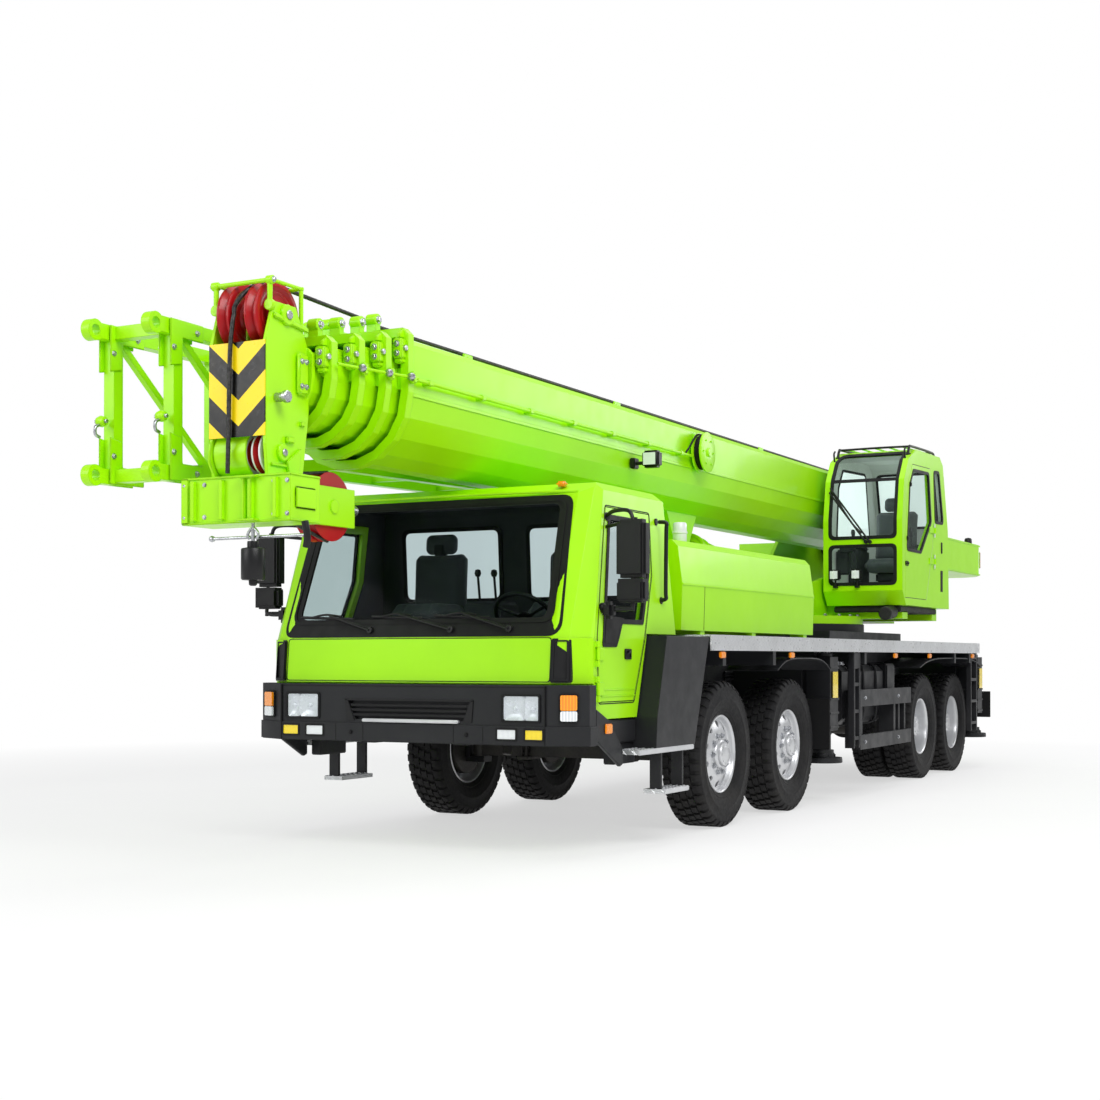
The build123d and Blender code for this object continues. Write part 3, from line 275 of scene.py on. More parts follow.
GREEN = finish_of("lime_paint", (168, 237, 5), (163, 232, 2), 0.33, 0.04, coat=0.12, grain=0.004, grain_scale=40.0,
                  edge=0.007, dust=0.02, spec=0.3)
DARK = finish_of("dark_grey", (33, 34, 37), (28, 29, 32), 0.44, 0.07, grain=0.05, grain_scale=300.0, edge=0.006,
                 worn=(60, 61, 64), dust=0.03, spec=0.28)
BLACK = finish_of("black_plastic", (20, 20, 22), (15, 15, 17), 0.4, 0.1, grain=0.08, grain_scale=400.0, spec=0.35)
SEAL = finish_of("black_rubber", (17, 17, 19), (12, 12, 13), 0.62, 0.08, grain=0.06, grain_scale=300.0, spec=0.3)
RUBBER = finish_of("tyre_rubber", (30, 30, 32), (23, 23, 25), 0.72, 0.1, patch=9.0, grain=0.2, grain_scale=400.0,
                   dust=0.04, spec=0.22)
RIM = finish_of("wheel_alloy", (214, 215, 217), (204, 205, 208), 0.36, 0.05, metal=0.6, patch=6.0, grain=0.015,
                grain_scale=300.0)
STEEL = finish_of("zinc_steel", (196, 198, 202), (160, 162, 166), 0.3, 0.1, metal=0.95, patch=20.0, grain=0.08,
                  grain_scale=900.0)
CHROME = finish_of("chrome_rod", (228, 229, 231), (214, 215, 218), 0.1, 0.04, metal=1.0, patch=11.0, grain=0.02)
ROPE = finish_of("greased_rope", (70, 69, 68), (38, 38, 38), 0.42, 0.12, metal=0.6, patch=60.0, grain=0.3,
                 grain_scale=900.0)
RED = finish_of("sheave_red", (176, 12, 22), (158, 8, 16), 0.34, 0.06, coat=0.12, grain=0.02, edge=0.004, spec=0.3)
IRON = finish_of("cast_iron", (44, 43, 43), (30, 30, 31), 0.6, 0.12, metal=0.3, patch=12.0, grain=0.35,
                 grain_scale=160.0, dust=0.2)
WHITE = finish_of("white_paint", (232, 233, 234), (216, 217, 218), 0.35, 0.08, coat=0.3, grain=0.04)
SKIN = finish_of("cab_trim", (52, 53, 57), (42, 43, 46), 0.66, 0.1, patch=4.0, grain=0.4, grain_scale=500.0)
# Pale pane that glows: painted daylight, standing in for the bright sky seen through the cabs' rear and side windows.
PANE_PAINTED_DAYLIGHT = finish_of("rear_pane", (226, 232, 234), (216, 224, 226), 0.12, 0.05, patch=2.0, grain=0.02, glow=0.9)
# Opaque dark pane: painted shade, standing in for glass with the shaded cab behind it.
PANE_PAINTED_SHADE = finish_of("pane_painted_shade", (34, 38, 40), (27, 31, 33), 0.08, 0.03, coat=0.6, patch=2.0, grain=0.01)
# Pale lining that glows: painted daylight inside the operator's cab.
LINING_PAINTED_DAYLIGHT = finish_of("pale_lining_painted_daylight", (204, 208, 203), (192, 197, 192), 0.6, 0.1, patch=3.0, grain=0.1, glow=0.12)
BRIGHT = finish_of("lamp_reflector", (238, 240, 242), (226, 229, 232), 0.25, 0.06, metal=0.15, patch=9.0, grain=0.02,
                   glow=0.15)
MIRROR = finish_of("mirror_face", (225, 228, 230), (214, 217, 220), 0.05, 0.02, metal=1.0, patch=2.0, grain=0.01)
PLATE = chequer()
STRIPES = chevrons()
CLOTH = cloth()
SCREEN = glass_of("windscreen", (0.80, 0.85, 0.85, 1.0))
PANE = glass_of("green_pane", (0.9, 0.955, 0.925, 1.0))
LENS = glass_of("clear_lens", (0.94, 0.95, 0.96, 1.0), 0.05)
AMBER = lens_of("amber_lens", (255, 160, 10), (232, 122, 3))
YELLOW = lens_of("yellow_lens", (252, 226, 20), (222, 190, 6))
RED_LENS = lens_of("red_lens", (222, 34, 16), (150, 10, 8))
CLEAR = lens_of("white_lens", (240, 242, 244), (196, 200, 206))


# Shapes
class Shape:
    """A mesh under construction, in millimetres from the first axle."""

    def __init__(self):
        self.bm = bmesh.new()
        self.mat = 0

    def _done(self, faces, bevel=0.0, seg=2):
        for f in faces:
            f.material_index = self.mat
        bmesh.ops.recalc_face_normals(self.bm, faces=faces)
        if bevel:
            edges = list({e for f in faces for e in f.edges})
            bmesh.ops.bevel(self.bm, geom=edges, offset=bevel / 1000, segments=seg, affect="EDGES",
                            clamp_overlap=True)

    def prism(self, points, push, bevel=0.0, seg=2):
        """Outline of points pushed along a vector, both in metres."""
        low = [self.bm.verts.new(p) for p in points]
        high = [self.bm.verts.new(p + push) for p in points]
        count = len(points)
        faces = [self.bm.faces.new(low[::-1]), self.bm.faces.new(high)]
        for i in range(count):
            j = (i + 1) % count
            faces.append(self.bm.faces.new((low[i], low[j], high[j], high[i])))
        self._done(faces, bevel, seg)
        return self

    def box(self, x0, x1, y0, y1, z0, z1, bevel=4.0, seg=2):
        corners = [V(x0, y0, z0), V(x1, y0, z0), V(x1, y1, z0), V(x0, y1, z0)]
        return self.prism(corners, Vector((0, 0, (z1 - z0) / 1000)), bevel, seg)

    def plate(self, points, y0, y1, bevel=3.0):
        """Side outline of (x, z) points with a thickness across."""
        return self.prism([V(x, y0, z) for x, z in points], Vector((0, (y1 - y0) / 1000, 0)), bevel)

    def wall(self, points, x0, x1, bevel=3.0):
        """Front outline of (y, z) points with a thickness along."""
        return self.prism([V(x0, y, z) for y, z in points], Vector(((x1 - x0) / 1000, 0, 0)), bevel)

    def grid(self, rows, cap=True):
        """Skin over rows of points, in metres."""
        rings = [[self.bm.verts.new(p) for p in row] for row in rows]
        count = len(rings[0])
        faces = []
        for a, b in zip(rings, rings[1:]):
            for i in range(count):
                j = (i + 1) % count
                faces.append(self.bm.faces.new((a[i], a[j], b[j], b[i])))
        if cap:
            faces += [self.bm.faces.new(rings[0][::-1]), self.bm.faces.new(rings[-1])]
        self._done(faces)
        return self

    def lathe(self, profile, centre, axis=(0, 1, 0), count=40, ring=False):
        """Turned form of (radius, offset) points about an axis through centre."""
        axis = Vector(axis).normalized()
        side = axis.orthogonal().normalized()
        other = axis.cross(side)
        centre = V(*centre)
        rows = []
        for r, d in profile:
            middle, reach = centre + axis * (d / 1000), max(r, 0.2) / 1000
            rows.append([middle + (side * u + other * w) * reach for u, w in around(count, 1)])
        if ring:
            rows.append(rows[0])
        self.grid(rows, cap=not ring)
        if ring:
            bmesh.ops.remove_doubles(self.bm, verts=self.bm.verts[:], dist=1e-6)
        return self

    def cyl(self, a, b, r, count=20, soft=2.0):
        """Round bar between two points with softened ends."""
        run = (V(*b) - V(*a)).length * 1000
        soft = min(soft, r * 0.4, run * 0.3)
        steps = [(r - soft, 0), (r, soft), (r, run - soft), (r - soft, run)]
        return self.lathe(steps, a, V(*b) - V(*a), count)

    def bolt(self, at, axis, r=14.0, washer=True):
        """Hexagon bolt head with its washer."""
        axis = Vector(axis).normalized()

        def out(d):
            return tuple(at[i] + axis[i] * d for i in range(3))

        if washer:
            self.cyl(at, out(3), r * 1.35, 16, 0.6)
        self.cyl(out(2), out(3 + r * 0.8), r, 6, 1.5)
        return self

    def tube(self, points, r, count=12, smooth=6, strands=0, lay=120.0):
        """Pipe or rope along points; a rope has strands that turn once each lay."""
        pts = [V(*p) for p in points]
        if smooth > 1 and len(pts) > 2:
            ends = [2 * pts[0] - pts[1], *pts, 2 * pts[-1] - pts[-2]]
            line = []
            for i in range(1, len(ends) - 2):
                p0, p1, p2, p3 = ends[i - 1:i + 3]
                for k in range(smooth):
                    t = k / smooth
                    line.append(0.5 * (2 * p1 + (p2 - p0) * t + (2 * p0 - 5 * p1 + 4 * p2 - p3) * t * t
                                       + (3 * p1 - p0 - 3 * p2 + p3) * t * t * t))
            line.append(pts[-1])
            pts = line
        if strands:
            fine = []
            for a, b in zip(pts, pts[1:]):
                parts = max(1, round((b - a).length * 1000 / (lay / 9)))
                fine += [a.lerp(b, k / parts) for k in range(parts)]
            pts = fine + [pts[-1]]
        normal = (pts[1] - pts[0]).orthogonal().normalized()
        rows = []
        run = 0.0
        for i, p in enumerate(pts):
            ahead = (pts[min(i + 1, len(pts) - 1)] - pts[max(i - 1, 0)]).normalized()
            normal = (normal - ahead * normal.dot(ahead)).normalized()
            other = ahead.cross(normal)
            if i:
                run += (p - pts[i - 1]).length * 1000
            row = []
            for k in range(count):
                a = 2 * math.pi * k / count
                size = r
                if strands:
                    turn = a * strands / 2 + math.pi * strands * run / lay / 2
                    size = r * (0.8 + 0.2 * abs(math.cos(turn)))
                row.append(p + (normal * math.cos(a) + other * math.sin(a)) * (size / 1000))
            rows.append(row)
        return self.grid(rows)

    def ring(self, outer, inner, place, back, front, corner=60.0, inner_corner=None, steps=10):
        """Flat seal between two outlines, laid on a surface by place(u, v, off)."""
        outside = loop(outer, corner, steps)
        inside = loop(inner, corner if inner_corner is None else inner_corner, steps)
        layers = (outside, back), (outside, front), (inside, front), (inside, back)
        rows = [[place(u, v, off) for u, v in edge] for edge, off in layers]
        rows.append(rows[0])
        self.grid(rows, cap=False)
        bmesh.ops.remove_doubles(self.bm, verts=self.bm.verts[:], dist=1e-6)
        return self

    def tile(self, outline, place, back, front, corner=20.0, steps=4):
        """Flat panel laid on a surface by place(u, v, off)."""
        edge = loop(outline, corner, steps)
        return self.grid([[place(u, v, off) for u, v in edge] for off in (back, front)])

    def mesh(self, name, materials, smooth=38.0):
        mesh = bpy.data.meshes.new(name)
        self.bm.to_mesh(mesh)
        self.bm.free()
        for m in materials:
            mesh.materials.append(m)
        mesh.shade_smooth()
        mesh.set_sharp_from_angle(angle=math.radians(smooth))
        return mesh

    def make(self, name, body, materials, slot, smooth=38.0):
        return dress(self.mesh(name, materials, smooth), name, body)


def dress(mesh, name, body):
    piece = bpy.data.objects.new(name, mesh)
    bpy.context.scene.collection.objects.link(piece)
    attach(piece, body)
    return piece


def loop(points, radius, steps):
    """Outline with rounded corners, its straight runs cut in equal steps."""
    count = len(points)
    corners = []
    for i in range(count):
        a, b, c = (Vector(points[(i + k) % count]) for k in (-1, 0, 1))
        u, w = a - b, c - b
        reach = min(radius / math.tan(u.angle(w) / 2), u.length * 0.45, w.length * 0.45)
        corners.append((b + u.normalized() * reach, b, b + w.normalized() * reach))
    line = []
    for i, (start, b, end) in enumerate(corners):
        for k in range(7):
            t = k / 6
            line.append(start * (1 - t) ** 2 + b * 2 * t * (1 - t) + end * t * t)
        stop = corners[(i + 1) % count][0]
        line += [end.lerp(stop, k / steps) for k in range(1, steps)]
    return [tuple(p) for p in line]


def rect(u0, u1, v0, v1):
    return [(u0, v0), (u1, v0), (u1, v1), (u0, v1)]


def taper(low_half, high_half, v0, v1):
    """Upright outline, narrower at the top."""
    return [(-low_half, v0), (low_half, v0), (high_half, v1), (-high_half, v1)]


def grown(points, depth):
    """Outline moved outwards by depth."""
    count = len(points)
    area = sum(x0 * y1 - x1 * y0 for (x0, y0), (x1, y1) in zip(points, points[1:] + points[:1]))
    turn = -1.0 if area > 0 else 1.0
    moved = []
    for i in range(count):
        a, b, c = (Vector(points[(i + k) % count]) for k in (-1, 0, 1))
        d0, d1 = (b - a).normalized(), (c - b).normalized()
        n0, n1 = Vector((-d0.y, d0.x)) * turn, Vector((-d1.y, d1.x)) * turn
        mid = (n0 + n1).normalized()
        moved.append(tuple(b + mid * (depth / max(mid.dot(n0), 0.3))))
    return moved


def carved(mesh, cutters, name):
    """The mesh with closed cutter meshes taken away."""
    body = bpy.data.objects.new("carve_body", mesh)
    tool = bpy.data.objects.new("carve_tool", cutters)
    for o in (body, tool):
        bpy.context.scene.collection.objects.link(o)
    cut = body.modifiers.new("cut", "BOOLEAN")
    cut.object = tool
    cut.solver = "EXACT"
    done = bpy.data.meshes.new_from_object(body.evaluated_get(bpy.context.evaluated_depsgraph_get()))
    done.name = name
    for o in (body, tool):
        bpy.data.objects.remove(o)
    done.shade_smooth()
    done.set_sharp_from_angle(angle=math.radians(35))
    return done


def merged(parts, name):
    """One mesh of several (mesh, matrix) parts with the same materials."""
    bm = bmesh.new()
    for mesh, matrix in parts:
        copy = mesh.copy()
        copy.transform(matrix)
        if matrix.determinant() < 0:
            copy.flip_normals()
        bm.from_mesh(copy)
        bpy.data.meshes.remove(copy)
    out = bpy.data.meshes.new(name)
    bm.to_mesh(out)
    bm.free()
    for m in parts[0][0].materials:
        out.materials.append(m)
    out.shade_smooth()
    out.set_sharp_from_angle(angle=math.radians(35))
    return out


# Finishes of the solid pieces
def paint(node, *materials):
    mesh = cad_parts[node].data
    mesh.materials.clear()
    for m in materials:
        mesh.materials.append(m)
    for p in mesh.polygons:
        p.material_index = 0
    return mesh


def at(p):
    """A face's middle in millimetres from the first axle."""
    return mm(p.center)


DARK_NODES = ["chassis_frame", "guards", "front_bumper"]
for place in ("front", "rear"):
    for name, _ in SIDES:
        DARK_NODES += [f"outrigger_beam_{place}_{name}", f"outrigger_jack_{place}_{name}"]
for number in (1, 2):
    DARK_NODES += [f"knuckle_{number}_{name}" for name, _ in SIDES]
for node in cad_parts:
    paint(node, DARK if node in DARK_NODES else GREEN)
for node, finish in (("axles", IRON), ("powertrain", IRON), ("winches", IRON), ("luff_rod", CHROME),
                     ("cab_glass", SCREEN), ("operator_glass", PANE)):
    paint(node, finish)
mesh = paint("deck_and_steps", PLATE, DARK)
for p in mesh.polygons:
    z = at(p)[2]
    if z < 1297 and not (624 < z < 658 or 350 < z < 382):
        p.material_index = 1
BOOM_BODIES = ("boom_base", "boom_section_2", "boom_section_3", "boom_section_4", "boom_tip")
for node in BOOM_BODIES:
    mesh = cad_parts[node].data
    mesh.shade_smooth()
    mesh.set_sharp_from_angle(angle=math.radians(36))
    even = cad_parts[node].modifiers.new("even", "WEIGHTED_NORMAL")
    even.keep_sharp = True
paint("head_sheaves", RED, STEEL)
mesh = paint("hook_block", GREEN, RED, STEEL)
for p in mesh.polygons:
    x, y, _ = at(p)
    if abs(abs(y) - 37.5) < 27.2:
        p.material_index = 1
    if x < 3340 - 195:
        p.material_index = 2


CAB_WAIST, CAB_LEAN, CAB_RAKE = 1370, 0.0737, 0.3656
OP_LEFT, OP_RIGHT = 1305, 505


def cab_side_y(z):
    """Half width of the driver's cab at a height."""
    return 1220 - CAB_LEAN * max(0.0, z - CAB_WAIST)


for name, side in SIDES:
    mesh = paint(f"cab_door_{name}", GREEN, SCREEN, BLACK)
    for p in mesh.polygons:
        x, y, z = at(p)
        depth = cab_side_y(z) - abs(y)
        if abs(p.normal.y) > 0.9 and 14 < depth < 28:
            p.material_index = 1
        if abs(y) > 1240 and z > 1500 or (x > 1870 and z > 2060 and depth < -4):
            p.material_index = 2
mesh = paint("operator_door", GREEN, PANE)
for p in mesh.polygons:
    depth = OP_LEFT - at(p)[1]
    if abs(p.normal.y) > 0.9 and 12 < depth < 24:
        p.material_index = 1
# Inner faces take the lining: dark trim in the driver's cab, and in the operator's cab a pale lining that glows as
# painted daylight.
for node, lining, middle in (("cab_shell", SKIN, V(1600, 0, 1650)), ("operator_cab", LINING_PAINTED_DAYLIGHT, V(-5200, 905, 2550))):
    mesh = paint(node, GREEN, lining)
    for p in mesh.polygons:
        if p.normal.dot(middle - p.center) > 0:
            p.material_index = 1


# Road wheels
TYRE_R = 538.0
AXLES = ((1, 0.0), (2, -1450.0), (3, -5560.0), (4, -6830.0))
FRONT_TRACK, OUTER_TRACK, INNER_TRACK = 1080, 1052, 718
HOME = (-AXLE_1, 0.0, 0.0)


def tyre_mesh():
    s = Shape()
    half = [(292, 104), (300, 112), (316, 121), (322, 127), (328, 126), (345, 137), (380, 146), (400, 149),
            (404, 151.5), (412, 151.5), (416, 149.5), (455, 149), (476, 147), (484, 149), (494, 148), (506, 142),
            (517, 132), (522, 116)]
    profile = [(r, -d) for r, d in half] + [(r, d) for r, d in reversed(half)]
    s.lathe(profile + [(290, 100), (290, -100)], HOME, count=96, ring=True)
    pitches = 40
    pitch = 2 * math.pi / pitches
    lug = [(515, 82), (535, 83), (538, 87), (538, 119), (533, 131), (514, 145), (499, 150.5), (497, 140), (514, 126)]

    def spot(a, r, y):
        return Vector((r * math.sin(a), y, r * math.cos(a))) / 1000

    for i in range(pitches):
        for side in (-1, 1):
            start = pitch * (i + (0.5 if side > 0 else 0.0))
            rows = []
            for t, shrink in ((0.0, 3.0), (0.05, 0.0), (0.57, 0.0), (0.62, 3.0)):
                lean = 0.06 * pitch
                rows.append([spot(start + t * pitch + lean * (y - 100) / 50, r - (shrink if r > 520 else 0), side * y)
                             for r, y in lug])
            s.grid(rows)
        for row, y0, y1 in ((0, -76, -30), (1, -23, 23), (2, 30, 76)):
            start = pitch * (i + (0.25, 0.0, 0.75)[row])
            outline = [(0.03, y0), (0.10, (y0 + y1) / 2 - 8), (0.03, y1), (0.68, y1), (0.78, (y0 + y1) / 2 + 8),
                       (0.68, y0)]
            mid_t, mid_y = 0.38, (y0 + y1) / 2
            rows = []
            for r, shrink in ((516, 1.0), (536, 1.0), (538, 0.92)):
                rows.append([spot(start + (mid_t + (t - mid_t) * shrink) * pitch, r, mid_y + (y - mid_y) * shrink)
                             for t, y in outline])
            s.grid(rows)
    return s.mesh("tyre", [RUBBER], 30)


STUDS = 10


def wheel_holes(low, high):
    s = Shape()
    for z, x in around(STUDS, 222):
        s.cyl((x - AXLE_1, low, z), (x - AXLE_1, high, z), 25, 24, 0.5)
    return s.mesh("holes", [RIM])


def nuts(s, radius, start, end, stud):
    for z, x in around(STUDS, radius, 0.5):
        x -= AXLE_1
        s.cyl((x, start, z), (x, start + 5, z), 23, 18, 1)
        s.cyl((x, start + 4, z), (x, end, z), 17, 6, 2)
        s.cyl((x, end - 4, z), (x, stud, z), 10.5, 14, 4)


def front_rim():
    disc = [(110, 97), (150, 97), (168, 96), (182, 93), (206, 85), (230, 73), (246, 65), (256, 65), (262, 72),
            (265, 92), (270, 104), (278, 110), (286, 110), (290, 104), (290, -104), (284, -110), (276, -108),
            (270, -98), (268, -60), (262, -40), (262, 46), (252, 51), (236, 57), (206, 70), (182, 79), (168, 82),
            (110, 83)]
    rim = Shape().lathe(disc, HOME, count=80, ring=True).mesh("disc", [RIM, STEEL, IRON])
    rim = carved(rim, wheel_holes(30, 130), "front_disc")
    s = Shape()
    s.lathe([(0, 70), (112, 70), (112, 98), (108, 108), (100, 118), (92, 122), (90, 138), (86, 145), (78, 148),
             (60, 149), (56, 152), (30, 153), (0, 153)], HOME, count=48)
    for z, x in around(8, 70):
        s.bolt((x - AXLE_1, 146, z), (0, 1, 0), 7, False)
    s.mat = 1
    nuts(s, 139, 96, 117, 126)
    s.mat = 2
    s.lathe([(60, -98), (210, -98), (214, -90), (214, 10), (200, 34), (60, 34)], HOME, count=48)
    hub = s.mesh("front_hub", [RIM, STEEL, IRON])
    return merged([(rim, Matrix()), (hub, Matrix())], "front_wheel")


def rear_rim():
    disc = [(110, -86), (180, -86), (212, -82), (236, -72), (250, -52), (258, -10), (262, 60), (265, 92), (270, 104),
            (278, 110), (286, 110), (290, 104), (290, -104), (284, -110), (276, -108), (268, -102), (250, -98),
            (212, -98), (180, -101), (110, -101)]
    rim = Shape().lathe(disc, HOME, count=80, ring=True).mesh("disc", [RIM, STEEL, IRON])
    return carved(rim, wheel_holes(-140, -20), "rear_disc")


def rear_hub():
    s = Shape()
    s.lathe([(0, -100), (128, -100), (128, -84), (124, -60), (116, -48), (108, -36), (104, -20), (104, 48), (98, 62),
             (84, 69), (50, 71), (46, 76), (0, 76)], HOME, count=48)
    for z, x in around(8, 74):
        s.bolt((x - AXLE_1, 68, z), (0, 1, 0), 9, False)
    s.mat = 1
    nuts(s, 156, -87, -64, -54)
    return s.mesh("rear_hub", [RIM, STEEL, IRON])


def drum():
    s = Shape()
    s.mat = 2
    s.lathe([(64, -170), (205, -170), (212, -160), (212, -30), (196, 0), (64, 0)], HOME, count=48)
    return s.mesh("drum", [RIM, STEEL, IRON])


tyre = tyre_mesh()
front = front_rim()
rear = rear_rim()
hub = rear_hub()
brake = drum()
for number, axle in AXLES:
    for name, side in SIDES:
        body = f"wheel_{number}_{name}"
        flip = Matrix.Scale(side, 4, (0, 1, 0))

        def spot(y, m=flip, x=axle):
            return Matrix.Translation(V(x, y, TYRE_R)) @ m

        if number < 3:
            only = side * FRONT_TRACK
            rubber = merged([(tyre, spot(only))], f"road_tyre_{number}_{name}")
            metal = merged([(front, spot(only))], f"road_rim_{number}_{name}")
        else:
            outer, inner = side * OUTER_TRACK, side * INNER_TRACK
            away = Matrix.Scale(-side, 4, (0, 1, 0))
            turned = Matrix.Rotation(math.pi / 40, 4, "Y")
            rubber = merged([(tyre, spot(outer)), (tyre, spot(inner) @ turned)], f"road_tyre_{number}_{name}")
            metal = merged([(rear, spot(outer)), (rear, spot(inner, away)), (hub, spot(outer)), (brake, spot(inner))],
                           f"road_rim_{number}_{name}")
        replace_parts(dress(rubber, rubber.name, body), f"tyre_{number}_{name}")
        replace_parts(dress(metal, metal.name, body), f"rim_{number}_{name}")


# Driver's cab: surfaces that trim is laid on
def cab_front(y, z, off):
    reach = abs(y)
    nose = 2335.0
    if reach > 990:
        nose = 2335 - 45 * (min(reach, 1110) - 990) / 120
    if reach > 1110:
        nose -= 105 * (reach - 1110) / 90
    x = min(2325.0, nose) - CAB_RAKE * max(0.0, z - CAB_WAIST) + 25 * max(0.0, CAB_WAIST - z) / 285
    return V(x + off, y, z)


def cab_flank(side):
    def place(x, z, off):
        return V(x, side * (cab_side_y(z) + off), z)

    return place


def op_flank(x, z, off):
    return V(x, OP_LEFT + off, z)


OP_NOSE = [(1765, -4520), (1905, -4400), (2600, -4395), (3000, -4470), (3210, -4620), (3330, -4900)]


def op_front(y, z, off):
    for (z0, x0), (z1, x1) in zip(OP_NOSE, OP_NOSE[1:]):
        if z <= z1 or z1 == 3330:
            t = (z - z0) / (z1 - z0)
            run = math.hypot(x1 - x0, z1 - z0)
            return V(x0 + (x1 - x0) * t + off * (z1 - z0) / run, y, z - off * (x1 - x0) / run)
    return V(OP_NOSE[-1][1], y, z)


# Windscreen surround, lower black band and wipers
s = Shape()
s.ring(taper(1062, 992, 1381, 2292), taper(945, 905, 1500, 2235), cab_front, -15, 5, 90, 55, 14)
s.ring(taper(1000, 955, 1468, 2266), taper(985, 940, 1482, 2252), cab_front, 2, 10, 80, 75, 14)
s.make("windscreen_surround", "carrier", [SEAL], "black_panel")
s = Shape()
for pivot, blade0, blade1 in ((-350, -930, -500), (270, -360, 40), (700, 120, 540)):
    mid = (blade0 + blade1) / 2

    def spot(y, z, off):
        return mm(cab_front(y, z, off))

    s.cyl(spot(pivot, 1428, 0), spot(pivot, 1430, 32), 22, 20)
    s.cyl(spot(pivot, 1430, 34), spot(mid + 30, 1528, 38), 8, 12)
    s.cyl(spot(pivot - 14, 1446, 26), spot(mid, 1536, 36), 4.5, 10)
    s.tube([spot(mid - 110, 1520, 20), spot(mid, 1534, 36), spot(mid + 110, 1522, 20)], 7, 8)
    s.cyl(spot(blade0, 1520, 12), spot(blade1, 1504, 12), 8, 10)
    s.cyl(spot(blade0, 1512, 3), spot(blade1, 1496, 3), 4, 8)
s.make("windscreen_wipers", "carrier", [BLACK], "black_panel")

# Cab front panel seams, corner air guides, roof lip and marker lamps
s = Shape()
for side in (-1, 1):
    s.tile([(side * 1012, 1092), (side * 1132, 1092), (side * 1124, 1366), (side * 1012, 1366)], cab_front, -4, 14,
           16)
    s.ring([(side * 1022, 1102), (side * 1122, 1102), (side * 1114, 1356), (side * 1022, 1356)],
           [(side * 1032, 1112), (side * 1112, 1112), (side * 1104, 1346), (side * 1032, 1346)], cab_front, 8, 18, 14,
           8, 4)
s.make("cab_corner_guides", "carrier", [BLACK], "black_panel")
s = Shape()
s.ring(rect(-1005, 1005, 1094, 1374), rect(-1000, 1000, 1099, 1369), cab_front, -3, 1.2, 20)
s.make("front_panel_seam", "carrier", [SEAL], "black_panel")
s = Shape()
s.tube([(1975, -1010, 2312), (2000, -600, 2318), (2002, 0, 2320), (2000, 600, 2318), (1975, 1010, 2312)], 11, 10)
for side in (-1, 1):
    s.tube([(1880, side * 1108, 2330), (1500, side * 1104, 2342), (1060, side * 1106, 2336)], 8, 8)
s.make("cab_roof_gutter", "carrier", [GREEN], "green_paint")
s = Shape()
for y in (-880, 880):
    s.box(1915, 1975, y - 32, y + 32, 2348, 2382, 12, 3)
s.make("cab_marker_lamps", "carrier", [AMBER], "lamp")

